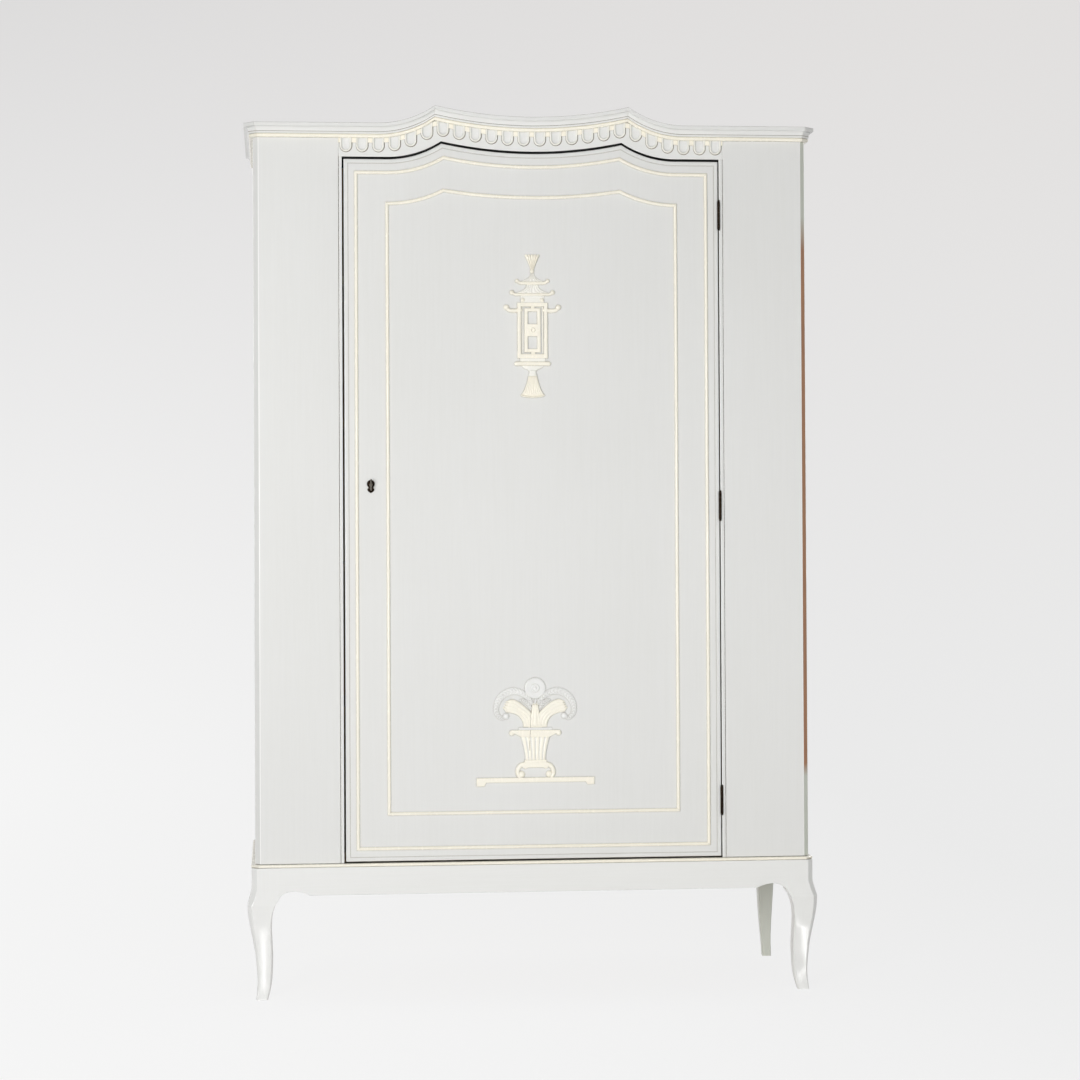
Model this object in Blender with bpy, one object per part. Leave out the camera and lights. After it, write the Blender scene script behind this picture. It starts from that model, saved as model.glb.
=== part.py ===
"""Painted cupboard on cabriole legs, with a crossbow cornice, one locking door and carved ornaments.

Metres, +Z up, front towards -Y, left and right as seen from the front.
The origin is on the floor, under the middle of the whole.
"""

import math

import bmesh
import bpy
from mathutils import Vector

# Fits
FIT = 0.0003
END_GAP = 0.0003

# Case
CASE_WIDTH = 1.190
CASE_DEPTH = 0.495
TOP_HEIGHT = 1.8615
BASE_HEIGHT = 0.287
CORNER_CANT = 0.011
SIDE_THICK = 0.020
PANEL_THICK = 0.022
BACK_THICK = 0.006
BACK_LAP = 0.008
TOP_BOARD_THICK = 0.018
HOUSING_DEPTH = 0.006

# Shelves and bottom; the shoulder is the step over the tongue at each end
SHELF_COUNT = 4
SHELF_THICK = 0.018
BOTTOM_THICK = 0.020
BOARD_SHOULDER = 0.006

# Cornice
CORNICE_HEIGHT = 0.030
CORNICE_INNER = 0.012
CORNICE_FASCIA = 0.0195
CORNICE_FASCIA_HEIGHT = 0.008
CORNICE_COVE_WIDTH = 0.008
CORNICE_COVE_HEIGHT = 0.0095
CORNICE_FILLET = 0.0095
CORNICE_FILLET_HEIGHT = 0.0045
CORNICE_BEAD_ROOT = 0.0045
CORNICE_CUSP_AT = 0.208
CORNICE_CUSP_RISE = 0.0385
CORNICE_DIP_RISE = 0.0155
CROSSBOW_SHOULDER = 0.212

# Frieze
FRIEZE_HEIGHT = 0.040
FRIEZE_THICK = 0.020
TONGUE_COUNT = 24
TONGUE_PITCH = 0.0346
TONGUE_WIDTH = 0.026
TONGUE_LENGTH = 0.0295
TONGUE_PROUD = 0.004
GUTTER_WIDTH = 0.015
GUTTER_DEPTH = 0.0042
GUTTER_END_TURN = math.radians(84)
DROP_HEIGHT = 0.010
DROP_PROUD = 0.003

# Door opening
DOOR_WIDTH = 0.8075
DOOR_THICK = 0.024
DOOR_SIDE_GAP = 0.003
DOOR_TOP_GAP = 0.004
DOOR_BOTTOM_GAP = 0.003
DOOR_STOP_GAP = 0.002
DOOR_CUSP_AT = 0.1945
DOOR_CUSP_RISE = 0.0345
DOOR_DIP_RISE = 0.0138
DOOR_ROUND = 0.003
DOOR_GROOVE_INSET = 0.0085
DOOR_GROOVE_WIDTH = 0.0015
DOOR_GROOVE_DEPTH = 0.0012
POST_EDGE = 0.007
POST_PROUD = 0.001
POST_DEPTH = 0.050
POST_BACK_WIDTH = 0.0325
RAIL_HEIGHT = 0.058
RAIL_THICK = 0.022

# Beads on the door
BEAD_WIDTH = 0.007
BEAD_PROUD = 0.0045
OUTER_BEAD_INSET = 0.027
OUTER_BEAD_TOP_DROP = 0.0025
INNER_BEAD_HALF = 0.3105
INNER_BEAD_BOTTOM = 0.1005
INNER_BEAD_TOP = 0.0955
INNER_CUSP_AT = 0.190
INNER_CUSP_RISE = 0.0287
INNER_DIP_RISE = 0.0144
INNER_SHOULDER = 0.262

# Base
BASE_PROUD = 0.0075
MOULDING_HEIGHT = 0.007
MOULDING_INNER = 0.012
MOULDING_REACH = 0.0010
THRESHOLD_LAP = 0.004
APRON_THICK = 0.018
APRON_DROP = 0.0590
ARCH_PEAK_DROP = 0.0500
ARCH_PEAK_AT = 0.030
ARCH_LEG_RADIUS = 0.036
ARCH_CUSP_RADIUS = 0.0745
FRONT_LEG_BLOCK = 0.0575
LEG_INNER_EASE = 0.008
BACK_LEG_BLOCK = 0.038

# Front leg: height from the floor, set-back of the outer faces, reach of the inner faces, cant, eased edges
FRONT_LEG = [
    (0.0000, 0.0088, 0.0335, 0.0020, 0.0020),
    (0.0230, 0.0110, 0.0395, 0.0025, 0.0030),
    (0.0480, 0.0116, 0.0430, 0.0030, 0.0035),
    (0.0820, 0.0088, 0.0445, 0.0042, 0.0035),
    (0.1050, 0.0060, 0.0443, 0.0052, 0.0035),
    (0.1320, 0.0012, 0.0430, 0.0065, 0.0032),
    (0.1570, -0.0040, 0.0422, 0.0075, 0.0028),
    (0.1820, -0.0078, 0.0442, 0.0085, 0.0020),
    (0.2020, -0.0090, 0.0498, 0.0092, 0.0010),
]
FRONT_LEG_KNEE = 0.234

# Back leg, as height, set-back of the outer face, reach of the inner face
BACK_LEG = [
    (0.000, 0.0060, 0.0260),
    (0.045, 0.0070, 0.0295),
    (0.085, 0.0060, 0.0330),
    (0.150, 0.0030, 0.0370),
    (0.200, 0.0005, 0.0380),
]
BACK_LEG_EASE = 0.002

# Hinges: the lower is set out from the door's foot, the upper from its top, the middle from halfway
LOWER_HINGE_RISE = 0.1205
UPPER_HINGE_DROP = 0.1170
MIDDLE_HINGE_LIFT = 0.0033
HINGE_LENGTH = 0.059
HINGE_KNUCKLES = 5
HINGE_RADIUS = 0.0030
HINGE_BORE = 0.0016
HINGE_PIN = 0.0015
HINGE_PIN_HEAD = 0.0026
HINGE_HEAD_HEIGHT = 0.0035
HINGE_HEAD_SHOULDER = 0.0022
HINGE_LEAF_THICK = 0.0010
HINGE_LEAF_DEPTH = 0.020
HINGE_FACE_GAP = 0.0004

# Lock, bolt and key; heights are from the key's axis
KEY_HEIGHT = 1.0910
KEY_INSET = 0.0565
KEY_PROUD = 0.025
KEY_SHANK = 0.0024
KEY_HOLE = 0.0030
KEY_BIT_REACH = 0.0085
KEY_BIT_THICK = 0.0025
KEY_BOW_HALF_HEIGHT = 0.0125
KEY_BOW_HALF_DEPTH = 0.008
KEY_BOW_THICK = 0.003
KEY_BOW_WEB = 0.0032
KEY_BOW_EASE = 0.6
KEY_COLLAR = 0.0038
KEY_COLLAR_LENGTH = 0.004
KEY_COLLAR_EASE = 0.001
KEY_TURN = math.tau
LOCK_INSET = 0.0005
LOCK_WIDTH = 0.072
LOCK_BELOW = 0.016
LOCK_ABOVE = 0.026
LOCK_DEPTH = 0.012
LOCK_WALL = 0.0015
BOLT_BOTTOM = 0.0065
BOLT_HEIGHT = 0.014
BOLT_DEPTH = 0.007
BOLT_THROW = 0.0105
BOLT_CLEAR = 0.0005
TALON_HEIGHT = 0.0028
MORTISE_DEPTH = 0.012
MORTISE_CLEAR = 0.0010
STRIKE_THICK = 0.0012
STRIKE_MARGIN = 0.008

# Escutcheon
ESCUTCHEON_THICK = 0.0015
ESCUTCHEON_RADIUS = 0.0085
ESCUTCHEON_CENTRE = 0.0020
ESCUTCHEON_LOBE = 0.0075
ESCUTCHEON_LOBE_DROP = 0.0110
ESCUTCHEON_POINT_DROP = 0.0180
ESCUTCHEON_ARC = math.radians(142)

# Ornaments: the lantern's top from the door's top, the urn's top from the door's foot
LANTERN_DROP = 0.202
URN_RISE = 0.388
URN_RIGHT = 0.002
ORNAMENT_LOW = 0.004
ORNAMENT_HIGH = 0.006
ORNAMENT_UNIT = 0.001

# Places worked out from the sizes above
FRONT = (KEY_PROUD - CASE_DEPTH) / 2
BACK = FRONT + CASE_DEPTH
HALF_CASE = CASE_WIDTH / 2
HALF_DOOR = DOOR_WIDTH / 2
HALF_OPENING = HALF_DOOR + DOOR_SIDE_GAP
CASE_FOOT = BASE_HEIGHT + FIT
CORNICE_FOOT = TOP_HEIGHT - CORNICE_HEIGHT
SIDE_TOP = CORNICE_FOOT - FIT
OPENING_TOP = CORNICE_FOOT - FRIEZE_HEIGHT
DOOR_TOP = OPENING_TOP - DOOR_TOP_GAP
DOOR_FOOT = BASE_HEIGHT + DOOR_BOTTOM_GAP
DOOR_BACK = FRONT + DOOR_THICK
STOP_FACE = DOOR_BACK + DOOR_STOP_GAP
INNER_SIDE = HALF_CASE - SIDE_THICK
BACK_PANEL_FRONT = BACK - BACK_THICK
POST_OUTER = HALF_OPENING + POST_EDGE
POST_BACK_EDGE = HALF_OPENING + POST_BACK_WIDTH
BASE_TOP = BASE_HEIGHT - MOULDING_HEIGHT
HINGE_X = HALF_DOOR + DOOR_SIDE_GAP / 4
HINGE_Y = FRONT - POST_PROUD - HINGE_FACE_GAP - HINGE_RADIUS
LOWER_HINGE = DOOR_FOOT + LOWER_HINGE_RISE
UPPER_HINGE = DOOR_TOP - UPPER_HINGE_DROP
MIDDLE_HINGE = (LOWER_HINGE + UPPER_HINGE) / 2 + MIDDLE_HINGE_LIFT
LANTERN_TOP = DOOR_TOP - LANTERN_DROP
URN_TOP = DOOR_FOOT + URN_RISE
KEY_X = -HALF_DOOR + KEY_INSET
LOCK_LEFT = -HALF_DOOR + LOCK_INSET
LOCK_FACE = DOOR_BACK + FIT
BOLT_FRONT = LOCK_FACE + (LOCK_DEPTH - LOCK_WALL - BOLT_DEPTH) / 2
DOOR_FACE = FRONT - FIT


def clear_scene():
    """Start from an empty scene."""
    for item in list(bpy.data.objects):
        bpy.data.objects.remove(item, do_unlink=True)


def make_material(name, colour, roughness, metallic=0.0):
    """One plain finish."""
    material = bpy.data.materials.new(name)
    material.use_nodes = True
    shader = material.node_tree.nodes["Principled BSDF"]
    shader.inputs["Base Color"].default_value = (*colour, 1.0)
    shader.inputs["Roughness"].default_value = roughness
    shader.inputs["Metallic"].default_value = metallic
    return material


# Mesh helpers

def loft(rings, cyclic=False):
    """Skin a list of rings with equal point counts; open lofts get a flat face at each end."""
    solid = bmesh.new()
    rows = [[solid.verts.new(point) for point in ring] for ring in rings]
    pairs = list(zip(rows, rows[1:]))
    if cyclic:
        pairs.append((rows[-1], rows[0]))
    for low, high in pairs:
        count = len(low)
        for i in range(count):
            j = (i + 1) % count
            solid.faces.new((low[i], low[j], high[j], high[i]))
    if not cyclic:
        solid.faces.new(rows[0])
        solid.faces.new(list(reversed(rows[-1])))
    bmesh.ops.recalc_face_normals(solid, faces=solid.faces)
    return solid


def prism_y(outline, front, back):
    """Extrude an outline of (x, z) points through the depth."""
    return loft([[Vector((x, y, z)) for x, z in outline] for y in (front, back)])


def prism_z(outline, low, high):
    """Extrude an outline of (x, y) points upward."""
    return loft([[Vector((x, y, z)) for x, y in outline] for z in (low, high)])


def prism_x(outline, low, high):
    """Extrude an outline of (y, z) points across the width."""
    return loft([[Vector((x, y, z)) for y, z in outline] for x in (low, high)])


def box(x_range, y_range, z_range):
    """A rectangular block."""
    (x0, x1), (z0, z1) = sorted(x_range), sorted(z_range)
    return prism_y([(x0, z0), (x1, z0), (x1, z1), (x0, z1)], min(y_range), max(y_range))


def merged(solids):
    """Put several separate solids in one mesh, for use as one cutter or one addition."""
    whole = bmesh.new()
    for solid in solids:
        scratch = bpy.data.meshes.new("scratch")
        solid.to_mesh(scratch)
        whole.from_mesh(scratch)
        solid.free()
        bpy.data.meshes.remove(scratch)
    return whole


def circle(centre, radius, count, start=0.0):
    """Points round a circle in any flat pair of axes."""
    turns = [start + math.tau * i / count for i in range(count)]
    return [(centre[0] + radius * math.cos(a), centre[1] + radius * math.sin(a)) for a in turns]


def cylinder_z(x, y, radius, low, high, count=12):
    """An upright cylinder."""
    return prism_z(circle((x, y), radius, count), low, high)


def turned_y(x, z, stations, count=12):
    """A solid turned about an axis along Y; stations are (y, radius)."""
    return loft([[Vector((px, y, pz)) for px, pz in circle((x, z), radius, count)] for y, radius in stations])


def mirror_x(outline):
    """Mirror an outline of 2-D points from left to right, keeping its direction."""
    return [(-a, b) for a, b in reversed(outline)]


def mitre_sides(points, up, closed=False):
    """For each point of a path, the vector that keeps an offset of one unit square to both its segments."""
    points = [Vector(point) for point in points]
    count = len(points)
    normals = []
    for i in range(count if closed else count - 1):
        along = points[(i + 1) % count] - points[i]
        along -= up * along.dot(up)
        normals.append(along.normalized().cross(up))
    sides = []
    for i in range(count):
        before = normals[i - 1] if closed or i > 0 else normals[0]
        after = normals[i] if i < len(normals) else normals[-1]
        sides.append((before + after) / (1.0 + before.dot(after)))
    return sides


def moulding(points, sides, up, profile, pull=(0.0, 0.0)):
    """Run a profile of (outward, upward) points along a path; pull draws the two ends back from their joints."""
    points = [Vector(point) for point in points]
    points[0] = points[0] + (points[1] - points[0]).normalized() * pull[0]
    points[-1] = points[-1] + (points[-2] - points[-1]).normalized() * pull[1]
    return loft([[p + side * out + up * rise for out, rise in profile] for p, side in zip(points, sides)])


def inset(outline, distance):
    """Move each edge of an anticlockwise (x, z) outline inward by one distance."""
    flat = [Vector((x, 0.0, z)) for x, z in outline]
    sides = mitre_sides(flat, Vector((0, 1, 0)), closed=True)
    return [((p + s * distance).x, (p + s * distance).z) for p, s in zip(flat, sides)]


# Objects

def add_part(name, solid, material, parent=None, origin=(0.0, 0.0, 0.0), sharp=40):
    """Make one sub-part from a solid given in world coordinates."""
    origin = Vector(origin)
    mesh = bpy.data.meshes.new(name)
    bmesh.ops.translate(solid, verts=solid.verts, vec=-origin)
    solid.to_mesh(mesh)
    solid.free()
    mesh.shade_smooth()
    mesh.set_sharp_from_angle(angle=math.radians(sharp))
    mesh.materials.append(material)
    item = bpy.data.objects.new(name, mesh)
    bpy.context.collection.objects.link(item)
    item.location = origin
    if parent:
        item.parent = parent
        item.location = origin - parent.location
    return item


def add_empty(name, location):
    """An empty that marks a joint's axis and carries what moves about it."""
    item = bpy.data.objects.new(name, None)
    bpy.context.collection.objects.link(item)
    item.location = location
    return item


def combine(item, solid, operation, overlapping=False):
    """Cut a solid from a part, or join one to it, with a Boolean modifier."""
    tool = add_part(f"{item.name}_{operation.lower()}_{len(item.modifiers)}", solid, item.data.materials[0],
                    item.parent)
    tool.hide_render = True
    tool.display_type = "WIRE"
    modifier = item.modifiers.new(tool.name, "BOOLEAN")
    modifier.operation = operation
    modifier.solver = "EXACT"
    modifier.use_self = overlapping
    modifier.object = tool


# Lines shared by several parts

def crossbow(half_span, cusp_at, cusp_rise, dip_rise, shoulder, steps=6):
    """The crossbow line, left to right, as (x, rise): straight, a rising arc to a cusp, a sagging middle."""
    run = math.sqrt(shoulder ** 2 - (shoulder - cusp_rise) ** 2)
    turn = math.asin(run / shoulder)
    left = [(-half_span, 0.0)]
    for i in range(steps + 1):
        angle = turn * i / steps
        left.append((-cusp_at - run + shoulder * math.sin(angle), shoulder * (1 - math.cos(angle))))
    sag = cusp_rise - dip_rise
    radius = (cusp_at ** 2 + sag ** 2) / (2 * sag)
    for i in range(1, steps):
        x = -cusp_at * (1 - i / steps)
        left.append((x, dip_rise + radius - math.sqrt(radius ** 2 - x ** 2)))
    return left + [(0.0, dip_rise)] + [(-x, rise) for x, rise in reversed(left)]


def raised(line, height):
    """A crossbow line at a height."""
    return [(x, rise + height) for x, rise in line]


def height_at(line, x):
    """The height of a crossbow line at one place."""
    for (x0, z0), (x1, z1) in zip(line, line[1:]):
        if x0 <= x <= x1:
            return z0 + (z1 - z0) * (x - x0) / (x1 - x0)
    return line[0][1]


def cornice_line(half_span, height):
    """The cornice's crossbow at a height."""
    line = crossbow(half_span, CORNICE_CUSP_AT, CORNICE_CUSP_RISE, CORNICE_DIP_RISE, CROSSBOW_SHOULDER)
    return raised(line, height)


def door_line(half_span, height):
    """The crossbow of the door's top and of the opening over it."""
    line = crossbow(half_span, DOOR_CUSP_AT, DOOR_CUSP_RISE, DOOR_DIP_RISE, CROSSBOW_SHOULDER)
    return raised(line, height)


def side_to_front(height):
    """Plan of the case's left side from back to front, round the canted corner, at a height."""
    return [Vector((-HALF_CASE, BACK, height)), Vector((-HALF_CASE, FRONT + CORNER_CANT, height)),
            Vector((-HALF_CASE + CORNER_CANT, FRONT, height))]


# Base

def leg_section(station, side, corner, depth_way, inner_ease, set_back=0.0):
    """One cut through a leg: square, canted on its outer corner, eased on the others."""
    height, near, far, cant, ease = station
    square = [(near + cant, near), (far - ease, near), (far, near + ease), (far, far - inner_ease),
              (far - inner_ease, far), (near + ease, far), (near, far - ease), (near, near + cant)]
    return [Vector((side * (corner[0] - a), corner[1] + depth_way * (b - set_back), height)) for a, b in square]


def eased_stations(stations, steps=2):
    """Add stations on a smooth curve through the given ones."""
    rows = [Vector(row[1:]) for row in stations]
    heights = [row[0] for row in stations]
    smooth = [stations[0]]
    for i in range(len(stations) - 1):
        span = heights[i + 1] - heights[i]
        slopes = []
        for k in (i, i + 1):
            low, high = max(k - 1, 0), min(k + 1, len(stations) - 1)
            slopes.append((rows[high] - rows[low]) / (heights[high] - heights[low]) * span)
        for j in range(1, steps + 1):
            t = j / steps
            value = ((2 * t ** 3 - 3 * t ** 2 + 1) * rows[i] + (t ** 3 - 2 * t ** 2 + t) * slopes[0]
                     + (3 * t ** 2 - 2 * t ** 3) * rows[i + 1] + (t ** 3 - t ** 2) * slopes[1])
            smooth.append((heights[i] + span * t, *value))
    return smooth


def build_front_leg(name, side, material):
    """A canted cabriole leg: a square block on top, a knee, a slim ankle and a small foot."""
    shoulder = BASE_TOP - ARCH_PEAK_DROP - ARCH_LEG_RADIUS + math.sqrt(ARCH_LEG_RADIUS ** 2 - ARCH_PEAK_AT ** 2)
    knee = FRONT_LEG[-1]
    stations = eased_stations(FRONT_LEG)
    stations.append((shoulder, knee[1] * 0.6, FRONT_LEG_BLOCK, CORNER_CANT, FIT))
    stations.append((FRONT_LEG_KNEE, 0.0, FRONT_LEG_BLOCK, CORNER_CANT, FIT))
    stations.append((BASE_TOP - FIT, 0.0, FRONT_LEG_BLOCK, CORNER_CANT, FIT))
    corner = (HALF_CASE + BASE_PROUD, FRONT - BASE_PROUD)
    rings = [leg_section(station, side, corner, 1, LEG_INNER_EASE) for station in stations]
    return add_part(name, loft(rings), material, sharp=35)


def build_back_leg(name, side, material):
    """A plain back leg, upright behind and tapered towards the floor."""
    stations = eased_stations(BACK_LEG) + [(BASE_TOP - FIT, 0.0, BACK_LEG_BLOCK)]
    corner = (HALF_CASE + BASE_PROUD, BACK)
    rings = []
    for height, outer, inner in stations:
        station = (height, outer, inner, BACK_LEG_EASE, BACK_LEG_EASE)
        rings.append(leg_section(station, side, corner, -1, BACK_LEG_EASE, outer))
    return add_part(name, loft(rings), material, sharp=35)


def apron_outline(start, end):
    """Apron in elevation: straight top, and a bottom that arches up beside each leg."""
    top = BASE_TOP - FIT
    peak = BASE_TOP - ARCH_PEAK_DROP
    foot = BASE_TOP - APRON_DROP
    rise = peak - foot
    cusp_run = math.sqrt(ARCH_CUSP_RADIUS ** 2 - (ARCH_CUSP_RADIUS - rise) ** 2)
    arch = []
    for i in range(6):
        away = ARCH_PEAK_AT * (1 - i / 5)
        arch.append((ARCH_PEAK_AT - away, peak - ARCH_LEG_RADIUS + math.sqrt(ARCH_LEG_RADIUS ** 2 - away ** 2)))
    for i in range(1, 5):
        away = cusp_run * i / 4
        arch.append((ARCH_PEAK_AT + away, peak - ARCH_CUSP_RADIUS + math.sqrt(ARCH_CUSP_RADIUS ** 2 - away ** 2)))
    left = [(start + along, z) for along, z in arch]
    right = [(end - along, z) for along, z in reversed(arch)]
    return left + right + [(end, top), (start, top)]


def build_aprons(material):
    """Front and side aprons with bracket arches, and a plain back apron."""
    front_face = FRONT - BASE_PROUD
    side_face = HALF_CASE + BASE_PROUD
    leg_inner = side_face - FRONT_LEG_BLOCK - FIT
    add_part("apron_front", prism_y(apron_outline(-leg_inner, leg_inner), front_face, front_face + APRON_THICK),
             material)
    start = front_face + FRONT_LEG_BLOCK + FIT
    end = BACK - BACK_LEG_BLOCK - FIT
    for name, side in (("apron_left", -1), ("apron_right", 1)):
        faces = (side * side_face, side * (side_face - APRON_THICK))
        add_part(name, prism_x(apron_outline(start, end), min(faces), max(faces)), material)
    back_inner = side_face - BACK_LEG_BLOCK - FIT
    add_part("apron_back", box((-back_inner, back_inner), (BACK - APRON_THICK, BACK),
                               (BASE_TOP - APRON_DROP, BASE_TOP - FIT)), material)


def build_base_moulding(material):
    """The round-nosed moulding between base and case; its front length is the threshold under the door too."""
    nose = MOULDING_HEIGHT / 2
    centre = BASE_PROUD + MOULDING_REACH - nose
    rounding = []
    for i in range(7):
        angle = math.pi * (i / 6 - 0.5)
        rounding.append((centre + nose * math.cos(angle), nose + nose * math.sin(angle)))
    profile = [(-MOULDING_INNER, 0.0)] + rounding + [(-MOULDING_INNER, MOULDING_HEIGHT)]
    threshold_inner = STOP_FACE - FRONT + THRESHOLD_LAP
    threshold = [(-threshold_inner, 0.0)] + rounding + [(-threshold_inner, MOULDING_HEIGHT)]
    up = Vector((0, 0, 1))
    left = side_to_front(BASE_TOP)
    right = [Vector((-p.x, p.y, p.z)) for p in reversed(left)]
    path = left + right
    sides = mitre_sides(path, up)
    add_part("base_moulding_left", moulding(path[:3], sides[:3], up, profile, (0.0, END_GAP / 2)), material)
    add_part("base_moulding_front",
             moulding(path[2:4], sides[2:4], up, threshold, (END_GAP / 2, END_GAP / 2)), material)
    add_part("base_moulding_right", moulding(path[3:], sides[3:], up, profile, (END_GAP / 2, 0.0)), material)


# Case

def shelf_heights():
    """Undersides of the shelves, spaced evenly between the bottom board and the top."""
    floor = CASE_FOOT + BOTTOM_THICK
    clear = (SIDE_TOP - floor - SHELF_COUNT * SHELF_THICK) / (SHELF_COUNT + 1)
    return [floor + clear * (i + 1) + SHELF_THICK * i for i in range(SHELF_COUNT)]


def post_notches(height_range):
    """A cutter at each door post for what passes behind or beside the posts."""
    behind = (STOP_FACE - FIT, FRONT + POST_DEPTH + FIT)
    return [box((side * (HALF_OPENING - FIT), side * (POST_BACK_EDGE + FIT)), behind, height_range)
            for side in (-1, 1)]


def build_board(name, low, thick, front, material):
    """A level board with shouldered ends, whose tongues run into the sides' housings."""
    reach = INNER_SIDE + HOUSING_DEPTH - FIT
    board = add_part(name, box((-reach, reach), (front, BACK_PANEL_FRONT - FIT), (low, low + thick)), material)
    top = (low + thick - BOARD_SHOULDER, low + thick + FIT)
    shoulders = [box((side * (INNER_SIDE - FIT), side * (reach + FIT)), (front - FIT, BACK), top)
                 for side in (-1, 1)]
    combine(board, merged(shoulders), "DIFFERENCE")
    return board


def build_case(painted, wood):
    """Sides, bottom, shelves, top and back."""
    shelf_front = FRONT + POST_DEPTH + FIT
    levels = [("bottom_board", CASE_FOOT, BOTTOM_THICK, STOP_FACE)]
    levels += [(f"shelf_{i + 1}", low, SHELF_THICK, shelf_front) for i, low in enumerate(shelf_heights())]

    for name, side in (("side_left", -1), ("side_right", 1)):
        plan = [(HALF_CASE, FRONT + PANEL_THICK + FIT), (HALF_CASE, BACK), (INNER_SIDE + BACK_LAP, BACK),
                (INNER_SIDE + BACK_LAP, BACK_PANEL_FRONT - FIT), (INNER_SIDE, BACK_PANEL_FRONT - FIT),
                (INNER_SIDE, FRONT + PANEL_THICK + FIT)]
        board = add_part(name, prism_z([(side * x, y) for x, y in plan], CASE_FOOT, SIDE_TOP), painted)
        housings = []
        for _, low, thick, front in levels:
            bottom = low - 2 * FIT if low == CASE_FOOT else low - FIT
            housings.append(box((side * (INNER_SIDE - FIT), side * (INNER_SIDE + HOUSING_DEPTH)),
                                (front - FIT, BACK + FIT), (bottom, low + thick - BOARD_SHOULDER + FIT)))
        combine(board, merged(housings), "DIFFERENCE")

    for name, low, thick, front in levels:
        board = build_board(name, low, thick, front, wood)
        if name == "bottom_board":
            combine(board, merged(post_notches((CASE_FOOT - FIT, CASE_FOOT + BOTTOM_THICK + FIT))), "DIFFERENCE")
    half_back = INNER_SIDE + BACK_LAP - FIT
    add_part("back_panel", box((-half_back, half_back), (BACK_PANEL_FRONT, BACK), (CASE_FOOT, SIDE_TOP)), wood)
    half_top = HALF_CASE - CORNICE_INNER - FIT
    add_part("top_board", box((-half_top, half_top), (FRONT + FRIEZE_THICK + FIT, BACK),
                              (CORNICE_FOOT, CORNICE_FOOT + TOP_BOARD_THICK)), wood)
    add_part("top_rail", box((-INNER_SIDE + FIT, INNER_SIDE - FIT), (STOP_FACE, STOP_FACE + RAIL_THICK),
                             (SIDE_TOP - RAIL_HEIGHT, SIDE_TOP)), painted)


def build_case_front(painted):
    """The fixed panels with their canted corners, the door posts and the lock's mortise."""
    for name, side in (("front_panel_left", -1), ("front_panel_right", 1)):
        plan = [(HALF_CASE, FRONT + CORNER_CANT), (HALF_CASE, FRONT + PANEL_THICK),
                (POST_OUTER + FIT, FRONT + PANEL_THICK), (POST_OUTER + FIT, FRONT),
                (HALF_CASE - CORNER_CANT, FRONT)]
        add_part(name, prism_z([(side * x, y) for x, y in plan], CASE_FOOT, SIDE_TOP), painted)
    behind_panel = FRONT + PANEL_THICK + FIT
    rail_notches = post_notches((SIDE_TOP - RAIL_HEIGHT - FIT, OPENING_TOP + FIT))
    for name, side, rail_notch in zip(("door_post_left", "door_post_right"), (-1, 1), rail_notches):
        plan = [(HALF_OPENING, FRONT - POST_PROUD), (POST_OUTER, FRONT - POST_PROUD), (POST_OUTER, behind_panel),
                (POST_BACK_EDGE, behind_panel), (POST_BACK_EDGE, FRONT + POST_DEPTH),
                (HALF_OPENING, FRONT + POST_DEPTH)]
        post = add_part(name, prism_z([(side * x, y) for x, y in plan], CASE_FOOT, OPENING_TOP - FIT), painted)
        notch = [rail_notch]
        if side < 0:
            bolt_low = KEY_HEIGHT + BOLT_BOTTOM
            notch.append(box((-HALF_OPENING + FIT, -HALF_OPENING - MORTISE_DEPTH),
                             (BOLT_FRONT - MORTISE_CLEAR, BOLT_FRONT + BOLT_DEPTH + MORTISE_CLEAR),
                             (bolt_low - MORTISE_CLEAR, bolt_low + BOLT_HEIGHT + MORTISE_CLEAR)))
        combine(post, merged(notch), "DIFFERENCE")


def build_frieze(material):
    """The frieze board, carved with hanging tongues, their hollow gutters and a square drop between each two."""
    half = POST_OUTER
    face = FRONT - POST_PROUD
    top = cornice_line(half, CORNICE_FOOT - FIT)
    bottom = door_line(half, OPENING_TOP)
    board = add_part("frieze_board", prism_y(bottom + list(reversed(top)), face, FRONT + FRIEZE_THICK), material,
                     sharp=30)
    inside = FRONT + FRIEZE_THICK / 2
    radius = TONGUE_WIDTH / 2
    tongues, gutters, drops = [], [], []
    for i in range(TONGUE_COUNT):
        x = (i - (TONGUE_COUNT - 1) / 2) * TONGUE_PITCH
        under = height_at(top, x)
        centre = under - TONGUE_LENGTH + radius
        turns = [math.pi * k / 8 for k in range(9)]
        outline = [(x - radius * math.cos(a), centre - radius * math.sin(a)) for a in turns]
        across = [x + radius * (1 - k / 3) for k in range(7)]
        outline += [(place, height_at(top, place) - FIT) for place in across]
        tongues.append(prism_y(outline, face - TONGUE_PROUD, inside))
        gutters.append(build_gutter(x, under + radius, centre, face - TONGUE_PROUD))
    gap = TONGUE_PITCH - TONGUE_WIDTH
    for i in range(TONGUE_COUNT + 1):
        x = (i - TONGUE_COUNT / 2) * TONGUE_PITCH
        left = max(x - gap / 2 - FIT, -half + FIT)
        right = min(x + gap / 2 + FIT, half - FIT)
        high = [(right, height_at(top, right) - 2 * FIT), (left, height_at(top, left) - 2 * FIT)]
        low = [(left, high[1][1] - DROP_HEIGHT), (right, high[0][1] - DROP_HEIGHT)]
        drops.append(prism_y(low + high, face - DROP_PROUD, inside))
    combine(board, merged(tongues), "UNION")
    combine(board, merged(drops), "UNION")
    combine(board, merged(gutters), "DIFFERENCE")


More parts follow.
